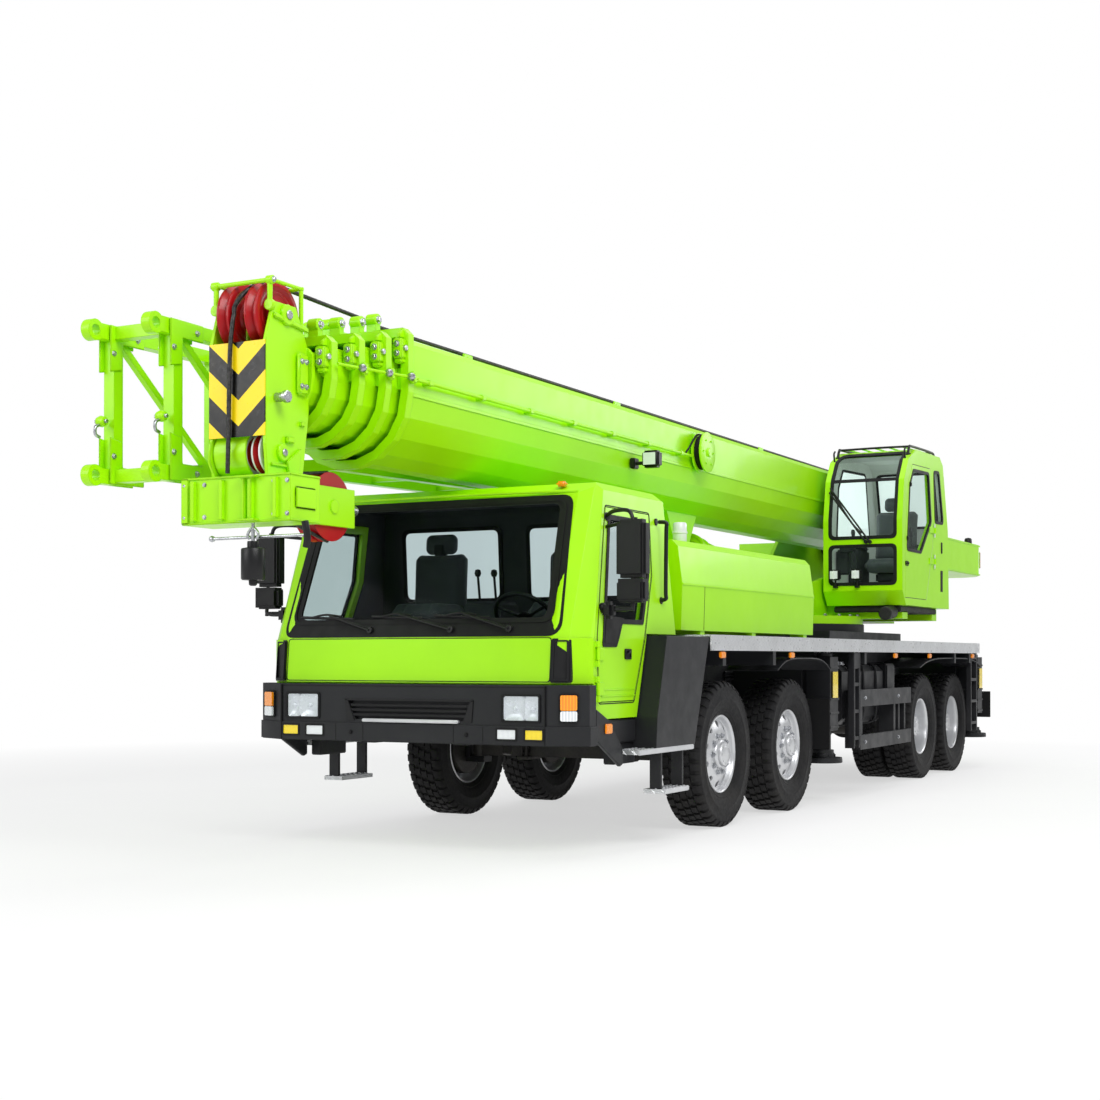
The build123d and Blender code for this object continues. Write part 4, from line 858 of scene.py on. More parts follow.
# Side windows, mirrors, handles and door trim
DOOR = [(2100, 965), (2120, 1380), (1880, 2215), (1215, 2215), (1240, 1800), (1590, 965)]
DOOR_SEAM = [(2100, 965), (2119, 1370), (1880, 2215), (1215, 2215), (1240, 1800), (1420, 1370), (1590, 965)]
DOOR_WINDOW = [(2040, 1330), (1840, 2150), (1290, 2150), (1300, 1800), (1440, 1480), (1760, 1480), (1860, 1330)]
for name, side in SIDES:
    flank = cab_flank(side)
    door = f"cab_door_{name}"
    s = Shape()
    s.ring(grown(DOOR_WINDOW, 16), grown(DOOR_WINDOW, -16), flank, -15, 6, 26, 14, 5)
    s.tile([(2030, 1338), (1985, 1516), (1712, 1502), (1780, 1470), (1856, 1338)], flank, -24, 8, 14)
    s.tile(rect(1640, 1725, 1240, 1300), flank, -6, 4, 12)
    s.make(f"door_window_seal_{name}", door, [SEAL], "black_panel")
    s = Shape()
    s.ring(rect(1636, 1729, 1236, 1304), rect(1648, 1717, 1248, 1292), flank, -4, 9, 12)
    skin = cab_side_y(1270)
    s.tube([(1660, side * (skin + 8), 1286), (1690, side * (skin + 22), 1280), (1712, side * (skin + 8), 1262)], 7, 8)
    s.make(f"door_handle_{name}", door, [BLACK], "black_panel")
    s = Shape()
    y0, y1 = span(side, 1308, 1512)
    s.box(1948, 2056, y0, y1, 1746, 2112, 26, 4)
    s.box(1964, 2066, y0 + 8, y1, 1590, 1740, 24, 4)
    s.box(1942, 1950, y0 + 22, y1 - 22, 1770, 2088, 3)
    s.box(1958, 1966, y0 + 30, y1 - 22, 1612, 1730, 3)
    s.tube([(1872, side * 1150, 2146), (1930, side * 1240, 2176), (1985, side * 1370, 2170),
            (1992, side * 1410, 2104)], 13, 10)
    s.cyl((1868, side * 1140, 2146), (1876, side * 1172, 2150), 28, 20, 5)
    s.tube([(2028, side * 1196, 1560), (2034, side * 1300, 1548), (2030, side * 1410, 1556),
            (2026, side * 1420, 1600)], 13, 10)
    s.cyl((2030, side * 1190, 1560), (2030, side * 1226, 1560), 34, 20, 6)
    s.box(2002, 2076, *span(side, 1222, 1300), 1490, 1600, 22, 4)
    housing = s.make(f"door_mirrors_{name}", door, [BLACK, MIRROR], "black_panel")
    for p in housing.data.polygons:
        x, y, z = at(p)
        if x < 1960 and p.normal.x < -0.9 and abs(y) < 1500 and not 1740 < z < 1748:
            p.material_index = 1
    s = Shape()
    out = side * (cab_side_y(1800) + 52)
    base = side * (cab_side_y(1800) - 4)
    s.tube([(1105, base, 2170), (1108, out, 2160), (1108, out, 2110), (1114, out, 1890), (1118, out, 1690),
            (1118, out, 1645), (1118, base, 1635)], 14, 12)
    for z in (2170, 1635):
        s.cyl((1110, side * (cab_side_y(z) - 2), z), (1110, side * (cab_side_y(z) + 10), z), 24, 20, 3)
    s.make(f"cab_grab_rail_{name}", "carrier", [BLACK], "black_panel")
    s = Shape()
    s.ring(grown(DOOR, 3), grown(DOOR, -9), flank, -40, -3, 30, 24, 5)
    s.ring(grown(DOOR_SEAM, 11), grown(DOOR_SEAM, 4), flank, -3, 1.8, 34, 30, 12)
    s.make(f"door_rebate_{name}", "carrier", [SEAL], "black_panel")
    s = Shape()
    for z in (1000, 1040):
        s.tile([(2070, z), (1575, z), (1572, z + 9), (2070, z + 9)], flank, -3, 4, 3)
    s.make(f"door_swage_{name}", door, [GREEN], "green_paint")
    # Valance, wedge plate and step treads below the door
    s = Shape()
    y0, y1 = span(side, 1225, 1250)
    s.plate([(2197, 930), (2020, 858), (1830, 690), (1812, 660), (1812, 565), (1850, 552), (2197, 735)], y0, y1, 5)
    y0, y1 = span(side, 1050, 1216)
    s.box(1545, 2196, y0, y1, 700, 850, 8)
    s.box(1500, 1816, *span(side, 1110, 1190), 560, 700, 6)
    s.make(f"step_valance_{name}", "carrier", [DARK], "dark_frame")
    s = Shape()
    y0, y1 = span(side, 1247, 1262)
    s.box(1985, 2080, y0, y1, 770, 832, 6)
    for x in (380, -1080, -3980, -5200, -7000):
        s.box(x - 45, x + 45, *span(side, 1344, 1366), 1245, 1290, 6)
    s.make(f"side_markers_{name}", "carrier", [AMBER], "lamp")
    s = Shape()
    for x0, x1, low, high, y_in in ((935, 1805, 655, 661, 1188), (1020, 1410, 380, 386, 1216)):
        count = int((x1 - x0) / 52)
        for row in range(3):
            for i in range(count):
                x = x0 + 26 + i * (x1 - x0) / count + (12 if row % 2 else 0)
                y = side * (y_in + 35 + row * (1345 - y_in - 40) / 2)
                s.box(x - 16, x + 16, y - 5, y + 5, low - 3, high, 2)
    for x0, x1, z in ((930, 1810, 641), (1015, 1415, 366)):
        s.box(x0 - 2, x1 + 2, *span(side, 1352, 1368), z - 17, z + 17, 5)
    s.make(f"step_treads_{name}", "carrier", [RIM], "aluminium")

# Bumper tiers, lamps, grille trim
outline = [(2195, -1250), (2290, -1250), (2400, -1020), (2400, 1020), (2290, 1250), (2195, 1250)]
big = grown(outline, 9)
small = grown(outline, -20)
for edge in (0, -1):
    big[edge] = (2195, big[edge][1])
    small[edge] = (2120, small[edge][1])


def plan_band(points, low, high):
    return Shape().prism([V(x, y, low) for x, y in points], Vector((0, 0, (high - low) / 1000)))


band = plan_band(big, 704, 822).mesh("band", [DARK])
holes = plan_band(small, 684, 842)
for side in (-1, 1):
    for y0, y1 in ((656, 804), (856, 994)):
        holes.box(2370, 2460, *span(side, y0, y1), 731, 807, 0)
tier = carved(band, holes.mesh("holes", [DARK]), "bumper_lower_tier")
dress(tier, "bumper_lower_tier", "carrier")
s = Shape()
for side in (-1, 1):
    s.box(2396, 2413, side * 1002 - 2.5, side * 1002 + 2.5, 704, 1070, 1)
    for y in (345, 560):
        s.box(2404, 2410.5, side * y - 2, side * y + 2, 708, 818, 0.5)
    s.bolt((2409, side * 440, 762), (1, 0, 0), 11)
s.box(2396, 2402, -1010, 1010, 1060, 1066, 1)
s.make("bumper_seams", "carrier", [SEAL], "black_panel")
s = Shape()
s.box(2392, 2424, -345, 385, 830, 852, 5, 3)
for y in (-300, 20, 340):
    s.cyl((2380, y, 841), (2400, y, 841), 8)
s.make("bumper_bar", "carrier", [RIM], "aluminium")
s = Shape()
GRILLE_END = ((478, 838), (412, 838), (418, 850), (462, 965), (478, 978), (490, 978))
for side in (-1, 1):
    s.wall([(side * y, z) for y, z in GRILLE_END], 2396, 2407, 2)
s.box(2396, 2407, -488, 488, 968, 980, 2)
for z in (876, 907, 939):
    s.box(2368, 2404, -440, 440, z - 8, z + 8, 5, 3)
s.make("grille_trim", "carrier", [BLACK], "black_panel")

BUMPER_X = 2400
HEADLAMP = (700, 960, 852, 1012)
FOGS = ((660, 800, 735, 803), (860, 990, 735, 803))
s = Shape()


def bumper_face(y, z, off):
    return V(BUMPER_X + off, y, z)


def bowl(s, cy, cz, half_y, half_z, deep, near):
    """Fluted reflector dish between its rim and its lamp."""
    rows = []
    for k in range(9):
        t = k / 8
        row = []
        for i in range(28):
            a = 2 * math.pi * i / 28
            power = 0.42 + 0.58 * (1 - t) ** 0.3 if t < 1 else 1
            cx, sz = math.cos(a), math.sin(a)
            box = max(abs(cx), abs(sz))
            y = cx / (box * (1 - t) + t)
            z = sz / (box * (1 - t) + t)
            size = (1 - t) * 0.94 + 0.06
            wave = 1.0 + (0.03 if i % 2 else -0.03) * t * (1 - t) * 4
            row.append(V(near - deep * (1 - (1 - t) ** 2) * power * wave, cy + y * half_y * size,
                         cz + z * half_z * size))
        rows.append(row)
    s.grid(rows, cap=False)


for side in (-1, 1):
    y0, y1, z0, z1 = HEADLAMP
    lo, hi = span(side, y0, y1)
    s.mat = 0
    s.ring(rect(lo - 9, hi + 9, z0 - 9, z1 + 9), rect(lo + 5, hi - 5, z0 + 5, z1 - 5), bumper_face, -28, 9, 16, 10)
    s.mat = 1
    s.tile(rect(lo + 3, hi - 3, z0 + 3, z1 - 3), bumper_face, -27, -23, 12)
    mid = (lo + hi) / 2
    split = mid + side * 28
    for a, b in ((lo + 3, split), (split, hi - 3)):
        bowl(s, (a + b) / 2, (z0 + z1) / 2, (b - a) / 2, (z1 - z0) / 2 - 3, 24, 2398)
        s.lathe([(0, 0), (17, 0), (17, 6), (11, 16), (0, 20)], (2376, (a + b) / 2, (z0 + z1) / 2), (1, 0, 0), 20)
    s.mat = 2
    s.tile(rect(lo + 3, hi - 3, z0 + 3, z1 - 3), bumper_face, 1, 5, 12)
    for i, (f0, f1, g0, g1) in enumerate(FOGS):
        lo, hi = span(side, f0, f1)
        s.mat = 0
        s.ring(rect(lo - 6, hi + 6, g0 - 6, g1 + 6), rect(lo + 5, hi - 5, g0 + 5, g1 - 5), bumper_face, -28, 13, 8, 6)
        s.mat = 3 if i else 5
        s.tile(rect(lo + 4, hi - 4, g0 + 4, g1 - 4), bumper_face, -20, 9, 6)
    # Corner lamps, amber over white, on the slanted end of the bumper
    normal = Vector((230, side * 110, 0)).normalized()
    along = Vector((-110, side * 230, 0)).normalized()

    def corner(u, z, off, normal=normal, along=along, side=side):
        p = Vector((2345, side * 1135, 0)) + along * u + normal * off
        return V(p.x, p.y, z)

    s.mat = 0
    s.tile(rect(-62, 62, 846, 1026), corner, -6, 12, 16)
    s.mat = 4
    s.tile(rect(-52, 52, 922, 1016), corner, 8, 26, 12)
    s.mat = 5
    s.tile(rect(-52, 52, 856, 918), corner, 8, 26, 12)
    # Rear lamps
    lo, hi = span(side, 292, 383)
    s.mat = 0
    s.box(-8032, -7991, lo, hi, 902, 1058, 8, 3)
    for i, z in enumerate((912, 962, 1010)):
        s.mat = (6, 4, 5)[i]
        s.box(-8040, -8028, lo + 8, hi - 8, z, z + 42, 6, 3)
lamp_set = s.make("lamp_set", "carrier", [SEAL, BRIGHT, LENS, YELLOW, AMBER, CLEAR, RED_LENS], "lamp", 25)
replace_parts(lamp_set, "lamps")

# Driver's seats, dash and steering wheel
def plump(mesh, rise):
    """Cushion swollen by a cloth run, its movement capped."""
    piece = bpy.data.objects.new("plump", mesh)
    bpy.context.scene.collection.objects.link(piece)
    remesh = piece.modifiers.new("remesh", "REMESH")
    remesh.mode = "VOXEL"
    remesh.voxel_size = 0.014
    solid = bpy.data.meshes.new_from_object(piece.evaluated_get(bpy.context.evaluated_depsgraph_get()))
    piece.modifiers.clear()
    piece.data = solid
    before = [v.co.copy() for v in solid.vertices]
    sim = piece.modifiers.new("cloth", "CLOTH")
    sim.settings.use_pressure = True
    sim.settings.uniform_pressure_force = 4.0
    sim.settings.effector_weights.gravity = 0.0
    scene = bpy.context.scene
    for step in range(1, 21):
        scene.frame_set(step)
    swollen = bpy.data.meshes.new_from_object(piece.evaluated_get(bpy.context.evaluated_depsgraph_get()))
    scene.frame_set(1)
    for v, a in zip(swollen.vertices, before):
        move = v.co - a
        if move.length > rise:
            v.co = a + move.normalized() * rise
    piece.modifiers.clear()
    piece.data = swollen
    smooth = piece.modifiers.new("smooth", "SMOOTH")
    smooth.iterations = 6
    sub = piece.modifiers.new("sub", "SUBSURF")
    sub.levels = 1
    sub.render_levels = 1
    done = bpy.data.meshes.new_from_object(piece.evaluated_get(bpy.context.evaluated_depsgraph_get()))
    bpy.data.objects.remove(piece)
    done.materials.clear()
    done.materials.append(CLOTH)
    done.shade_smooth()
    return done


def pad(long, wide, deep):
    """Cushion block about the origin with channels sewn across it."""
    s = Shape()
    s.box(-AXLE_1 - long / 2, -AXLE_1 + long / 2, -wide / 2, wide / 2, -deep / 2, deep / 2, min(deep, wide) * 0.28, 4)
    mesh = plump(s.mesh("pad", [CLOTH]), 0.014)
    for v in mesh.vertices:
        for seam in (-0.22, 0.22):
            gap = abs(v.co.y - seam * wide / 1000)
            if gap < 0.012 and v.co.z > 0:
                v.co.z -= 0.008 * (1 - gap / 0.012)
    return mesh


SEAT_Y = 560


def seat(prefix, body, x, y, floor, back_x, back_low, back_high, lean, node, rest):
    """Cushion, back and headrest in place of a node's seat; rest is the headrest's height over the back."""
    tall = back_high - back_low
    cushion, back, head = pad(430, 480, 120), pad(tall, 460, 110), pad(150, 260, 80)
    tilt = Matrix.Rotation(-math.pi / 2 - lean, 4, "Y")
    places = [(cushion, Matrix.Translation(V(x, y, floor))),
              (back, Matrix.Translation(V(back_x, y, back_low + tall / 2)) @ tilt),
              (head, Matrix.Translation(V(back_x - 8 - math.sin(lean) * 60, y, back_high + rest)) @ tilt)]
    for part, (mesh, matrix) in zip(("cushion", "back", "headrest"), places):
        mesh.transform(matrix)
        name = f"{prefix}_{part}"
        mesh.name = name
        piece = dress(mesh, name, body)
        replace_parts(piece, node)


for prefix, y in (("driver_seat", SEAT_Y), ("mate_seat", -SEAT_Y)):
    seat(prefix, "carrier", 1240, y, 1560, 1090, 1570, 2010, 0.05, "cab_interior", 62)
seat("operator_seat_pads", "superstructure", -5350, 905, 2195, -5590, 2240, 2790, 0.1, "operator_seat", 60)

s = Shape()
s.plate([(2080, 912), (2110, 912), (2110, 1140), (2236, 1140), (2230, 1398), (2060, 1418), (1995, 1300)], -1036, 1036,
        14)
s.plate([(2010, 1330), (2060, 1416), (2190, 1404), (2120, 1470), (2040, 1470), (1985, 1380)], 400, 760, 12)
for y in (-SEAT_Y, SEAT_Y):
    s.box(1040, 1380, y - 190, y + 190, 1456, 1512, 10)
    s.box(1060, 1130, y - 40, y + 40, 1990, 2070, 6)
s.box(1180, 1480, -150, 150, 1456, 1640, 24, 3)
s.mat = 1
s.cyl((2030, SEAT_Y, 1345), (1856, SEAT_Y, 1500), 26, 20)
axis = Vector((-190, 0, 170)).normalized()
side_v = Vector((0, 1, 0))
up_v = axis.cross(side_v)
hub_p = Vector((1850, SEAT_Y, 1505))


def wheel_point(turn, radius):
    return tuple(hub_p + side_v * (radius * math.cos(turn)) + up_v * (radius * math.sin(turn)))


s.tube([wheel_point(2 * math.pi * i / 32, 210) for i in range(33)], 15, 12, 2)
for spoke in (math.pi / 2, math.pi * 7 / 6, -math.pi / 6):
    s.cyl(tuple(hub_p), wheel_point(spoke, 208), 11, 12)
s.lathe([(0, 20), (48, 14), (56, 4), (56, -10), (0, -14)], tuple(hub_p), tuple(axis), 28)
for x, y in ((1330, 40), (1400, -50)):
    s.cyl((x, y, 1630), (x + 30, y, 1820), 9, 12)
    s.lathe([(0, 30), (18, 24), (24, 0), (16, -22), (0, -26)], (x + 31, y, 1835), (0, 0, 1), 18)
dash = s.make("cab_dash", "carrier", [SKIN, BLACK], "seat")
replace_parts(dash, "cab_interior")
s = Shape()
s.box(-5550, -5200, 735, 1075, 1812, 2020, 20)
s.box(-5500, -5250, 775, 1035, 2010, 2140, 30, 3)
for sign in (-1, 1):
    y = 905 + sign * 300
    s.box(-5480, -5020, y - 45, y + 45, 1812, 2370, 22, 3)
    s.box(-5480, -5180, y - 38, y + 38, 2366, 2400, 14, 3)
    s.cyl((-5080, y, 2366), (-5060, y, 2470), 9, 12)
    s.lathe([(0, 62), (16, 56), (22, 30), (17, -10), (20, -40), (0, -46)], (-5056, y, 2505), (0.2, 0, 1), 18)
s.box(-4700, -4620, 560, 700, 2080, 2330, 16, 3)
s.box(-4640, -4610, 600, 760, 2300, 2420, 10, 3)
consoles = s.make("operator_consoles", "superstructure", [SKIN], "seat")
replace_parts(consoles, "operator_seat")

# Rear panes of the driver's cab
s = Shape()


def cab_back(off):
    def place(y, z, depth):
        x = 900 + 60 * (z - 1405) / 905
        return V(x + off - depth, y, z)

    return place


for y0, y1 in ((-930, -120), (120, 930)):
    # Inner tile: a glowing pale sheet, painted daylight seen through the rear window.
    s.mat = 0
    s.tile(rect(y0, y1, 1670, 2180), cab_back(51), -6, 2, 50)
    # Outer tile: an opaque dark sheet, painted shade for the shaded cab seen through the glass.
    s.mat = 1
    s.tile(rect(y0, y1, 1670, 2180), cab_back(0), -2, 6, 50)
    s.mat = 2
    hole = rect(y0 - 20, y1 + 20, 1650, 2200), rect(y0 + 10, y1 - 10, 1680, 2170)
    s.ring(*hole, cab_back(0), -2, 12, 60, 46)
    s.ring(*hole, cab_back(51), -12, 2, 60, 46)
s.make("cab_rear_panes", "carrier", [PANE_PAINTED_DAYLIGHT, PANE_PAINTED_SHADE, SEAL], "glass")

# Right and rear panes of the operator's cab
def op_right(x, z, off):
    return V(x, OP_RIGHT - off, z)


def op_right_in(x, z, off):
    return V(x, OP_RIGHT + 45 + off, z)


def op_rear_x(z):
    return -5930 - 200 * (3270 - z) / 670


def op_rear(y, z, off):
    return V(op_rear_x(z) - off, y, z)


def op_rear_in(y, z, off):
    return V(op_rear_x(z) + 47 + off, y, z)


RIGHT_PANE = [(-4680, 2440), (-4740, 2960), (-4880, 3150), (-5640, 3180), (-5800, 2440)]
s = Shape()
REAR_PANE = rect(600, 1210, 2640, 3190)
for outline, outside, inside in ((RIGHT_PANE, op_right, op_right_in), (REAR_PANE, op_rear, op_rear_in)):
    # Inner tile: a glowing pale sheet, painted daylight seen through the window.
    s.mat = 0
    s.tile(outline, inside, -2, 4, 60)
    # Outer tile: an opaque dark sheet, painted shade for the shaded cab seen through the glass.
    s.mat = 1
    s.tile(outline, outside, -2, 4, 60)
    s.mat = 2
    s.ring(grown(outline, 16), grown(outline, -10), inside, -2, 8, 70, 56)
    s.ring(grown(outline, 16), grown(outline, -10), outside, -2, 8, 70, 56)
s.make("operator_side_panes", "superstructure", [PANE_PAINTED_DAYLIGHT, PANE_PAINTED_SHADE, SEAL], "glass")

# Operator's cab: seals, wiper, lamps, roof guard, door furniture
OP_DOOR = [(-4500, 1835), (-4490, 2450), (-4600, 2960), (-4760, 3170), (-5420, 3190), (-5530, 2420), (-5270, 1835)]
OP_DOOR_WINDOW = [(-4560, 2310), (-4660, 2950), (-4790, 3110), (-5360, 3130), (-5450, 2640), (-5060, 2310)]
OP_REAR_WINDOW = [(-5610, 2650), (-5560, 3170), (-5760, 3180), (-5930, 2660)]
s = Shape()
s.ring(rect(560, 1250, 2412, 3306), rect(592, 1218, 2446, 3276), op_front, -13, 5, 60, 44, 24)
s.ring(rect(560, 1250, 1957, 2363), rect(592, 1218, 1990, 2330), op_front, -13, 5, 60, 44, 8)
s.ring(grown(OP_REAR_WINDOW, 15), grown(OP_REAR_WINDOW, -14), op_flank, -13, 5, 60, 46, 6)
s.tile(rect(566, 1244, 2985, 3015), op_front, -12, 3, 4, 6)
s.make("operator_screen_seals", "superstructure", [SEAL], "black_panel")
s = Shape()
s.ring(grown(OP_DOOR_WINDOW, 15), grown(OP_DOOR_WINDOW, -14), op_flank, -13, 5, 60, 46, 5)
s.ring(rect(-4590, -4500, 2150, 2196), rect(-4580, -4510, 2158, 2188), op_flank, -4, 8, 10)
s.tube([(-4580, 1312, 2172), (-4545, 1326, 2176), (-4508, 1312, 2172)], 8, 8)
for x, z in ((-4585, 2420), (-4690, 2960)):
    s.box(x, x + 40, 1290, 1322, z - 22, z + 22, 6)
s.make("operator_door_trim", "operator_door", [SEAL], "black_panel")
s = Shape()
s.ring(grown(OP_DOOR, 3), grown(OP_DOOR, -9), op_flank, -36, -3, 60, 50, 5)
s.box(-5890, -5842, 1300, 1312, 2340, 2460, 8)
for i in range(6):
    z = 1950 + i * 34
    s.box(-5900, -5830, 1302, 1311, z, z + 20, 4)
s.box(-5910, -5820, 1300, 1308, 1935, 2165, 6)
s.make("operator_cab_vents", "superstructure", [SEAL], "black_panel")
s = Shape()
for y0, y1 in ((560, 945), (600, 985)):
    a = op_front(y1, 2385, 26)
    b = op_front(y0, 2890, 30)
    s.cyl((a.x * 1000 - AXLE_1, y1, 2385), (b.x * 1000 - AXLE_1, y0, 2890), 9, 10)
blade = [op_front(y, z, 16) for y, z in ((566, 2930), (660, 2780), (800, 2580), (900, 2470))]
s.tube([mm(p) for p in blade], 10, 8)
for y in (945, 985):
    s.cyl((-4402, y, 2385), (-4362, y, 2385), 18, 18, 4)
for sign in (545, 1265):
    s.tube([(-4640, sign, 3215), (-4618, sign, 3290), (-4650, sign, 3322)], 9, 10)
s.make("operator_wiper", "superstructure", [BLACK], "black_panel")
s = Shape()
for y in (640, 860):
    s.mat = 0
    s.box(-4398, -4318, y - 52, y + 52, 2012, 2116, 14, 3)
    s.cyl((-4370, y, 1950), (-4370, y, 2014), 10, 12)
    s.box(-4400, -4340, y - 20, y + 20, 1936, 1956, 4)
    s.mat = 1
    s.box(-4322, -4310, y - 44, y + 44, 2020, 2108, 8, 3)
    s.mat = 2
    for k in (-1, 1):
        s.lathe([(0, 4), (20, 3), (20, -2), (0, -2)], (-4310, y, 2064 + k * 22), (1, 0, 0), 20)
s.make("operator_work_lamps", "superstructure", [BLACK, CLEAR, BRIGHT], "lamp")
s = Shape()
for y in (545, 1265):
    s.tube([(-4760, y, 3240), (-4752, y, 3290), (-4790, y, 3346), (-4850, y, 3358), (-5300, y, 3372),
            (-5630, y, 3376), (-5700, y, 3362), (-5712, y, 3330)], 13, 10)
    s.cyl((-4760, y, 3250), (-4754, y, 3276), 26, 18, 4)
    s.cyl((-5712, y, 3330), (-5712, y, 3346), 26, 18, 4)
for x, z in ((-4850, 3358), (-5630, 3376)):
    s.tube([(x, 545, z), (x, 905, z + 3), (x, 1265, z)], 11, 10)
s.make("operator_roof_guard", "superstructure", [BLACK], "black_panel")
s = Shape()
for i in range(5):
    y = 625 + i * 140
    s.plate([(-5620, 3368), (-4850, 3350), (-4850, 3362), (-5620, 3380)], y - 14, y + 14, 3)
s.make("operator_roof_slats", "superstructure", [GREEN], "green_paint")

# Engine hood: seams, swages, vents and canister
s = Shape()


def hood_side(side):
    def place(x, z, off):
        y = 1190 + 10 * (z - 1440) / 327 if z < 1767 else 1200 - 35 * (z - 1767) / 263
        return V(x, side * (y + off), z)

    return place


for side in (-1, 1):
    s.tile(rect(327, 333, 1446, 1758), hood_side(side), -3, 1.0, 1, 3)
for x in (330, -860):
    s.box(x - 3, x + 3, -1118, 1118, 2074, 2079, 0.5)
s.make("hood_seams", "carrier", [SEAL], "black_panel")
s = Shape()
for side in (-1, 1):
    s.tile(rect(-2066, 736, 1758, 1776), hood_side(side), -2, 5, 6, 3)
s.make("hood_swages", "carrier", [GREEN], "green_paint")
s = Shape()
for i in range(14):
    z = 1530 + i * 34
    s.box(-2076, -2066, -760, 760, z, z + 17, 4)
s.make("hood_vents", "carrier", [BLACK], "black_panel")
s = Shape()
s.lathe([(0, 0), (46, 0), (50, 6), (50, 70), (56, 74), (56, 86), (50, 90), (50, 142), (42, 153), (0, 155)],
        (345, 1010, 2074), (0, 0, 1), 36)
s.make("hood_canister", "carrier", [WHITE], "aluminium")

# Boom: collar blocks, cable guides, rope and fittings
FRONTS = (3090.0, 3260.0, 3470.0, 3680.0, 3760.0)
for k in range(4):
    body = BOOM_BODIES[k]
    front = FRONTS[k]
    half = 445 - 45 * k
    top = 3215 - 45 * k
    nxt = 400 - 45 * (k + 1)
    s = Shape()
    for side in (-1, 1):
        s.mat = 0
        y0, y1 = span(side, nxt + 8, nxt + 74)
        s.box(front - 6, front + 52, y0, y1, top - 190, top - 70, 8, 3)
        s.box(front - 6, front + 40, y0 + 8, y1 - 8, top - 216, top - 186, 6)
        s.plate([(front - 58, top - 60), (front + 46, top - 66), (front + 46, top - 40), (front - 10, top - 6),
                 (front - 58, top - 2)], side * (half - 40) - 9, side * (half - 40) + 9, 3)
        s.cyl((front - 38, side * 170 - 36, top + 72), (front - 38, side * 170 + 36, top + 72), 38, 24, 4)
        s.mat = 1
        for z in (top - 160, top - 104):
            s.bolt((front + 52, (y0 + y1) / 2, z), (1, 0, 0), 15)
        s.bolt((front - 38, side * 206, top + 72), (0, side, 0), 17)
        s.bolt((front - 38, side * 134, top + 72), (0, -side, 0), 17)
        s.cyl((front + 18, side * (nxt + 72), top - 128), (front + 18, side * (nxt + 92), top - 128), 17, 20, 3)
    if k < 3:
        s.mat = 0
        s.box(front - 52, front - 8, half - 2, half + 34, 2880, 2950, 8, 3)
        s.mat = 1
        s.lathe([(0, -26), (16, -22), (24, -8), (24, 8), (16, 22), (0, 26)], (front + 6, half + 26, 2915), (1, 0, 0),
                22)
    s.make(f"collar_fittings_{k + 1}", body, [GREEN, STEEL], "green_paint")
    if k:
        s = Shape()
        back = FRONTS[k - 1]
        s.cyl((front - 20, half + 26, 2915), (back - 70, half + 72, 2915), 9, 12)
        s.make(f"guide_rod_{k + 1}", body, [GREEN], "green_paint")

s = Shape()
s.cyl((3030, 438, 2915), (-1240, 438, 2915), 12, 14)
for x in range(-1000, 3000, 640):
    s.box(x - 26, x + 26, 396, 454, 2896, 2934, 6)
s.tube([(3060, -60, 3222), (2900, -60, 3222), (900, -60, 3222), (620, -60, 3216), (560, -60, 3172)], 17, 12)
for x in (2700, 1800, 900):
    s.box(x - 18, x + 18, -78, -42, 3166, 3216, 4)
for x in (2500, 1100, -400, -2000, -3600):
    s.box(x - 60, x + 60, 120, 200, 3166, 3188, 5)
for side in (-1, 1):
    s.box(-5200, 3020, side * 401 - 3, side * 401 + 3, 2818, 2842, 2)
s.make("boom_base_rails", "boom_base", [GREEN], "green_paint")
REEL = (-1400, 468, 2960)
s = Shape()
s.lathe([(0, -46), (150, -46), (168, -40), (168, -30), (110, -26), (110, 26), (168, 30), (168, 40), (150, 46),
         (40, 46), (34, 62), (0, 62)], REEL, (0, 1, 0), 40)
for x, z in around(6, 110):
    s.bolt((REEL[0] + x, 514, REEL[2] + z), (0, 1, 0), 9, False)
s.box(-1450, -1350, 398, 424, 2900, 3020, 6)
s.mat = 1
s.lathe([(110, -24), (142, -24), (142, 24), (110, 24)], REEL, (0, 1, 0), 36, True)
s.tube([(-1400, 468, 3102), (-1290, 452, 3092), (-1180, 440, 2990), (-1100, 438, 2930)], 8, 10)
s.make("boom_cable_reel", "boom_base", [GREEN, SEAL], "green_paint")
s = Shape()
s.box(-185, -105, 396, 440, 2700, 2780, 6)
s.cyl((-145, 430, 2740), (-145, 520, 2740), 14, 14)
s.box(-185, -95, 500, 640, 2700, 2830, 18, 3)
s.mat = 1
s.box(-99, -85, 512, 628, 2712, 2818, 8, 3)
s.make("boom_work_lamp", "boom_base", [BLACK, CLEAR], "lamp")


def rope(points, smooth):
    """Stranded hoist rope along points."""
    return Shape().tube(points, 13, 18, smooth, 6, 130)


SHEAVE_X, SHEAVE_Z = 3950, 3150
LOW_X, LOW_Z = 3990, 2380


def sheave_line(x):
    """Height of the hoist rope between the boom's first collar and the head sheave."""
    return 3300 + (SHEAVE_Z + 186 - 3300) * (x - 3050) / (SHEAVE_X - 3050)


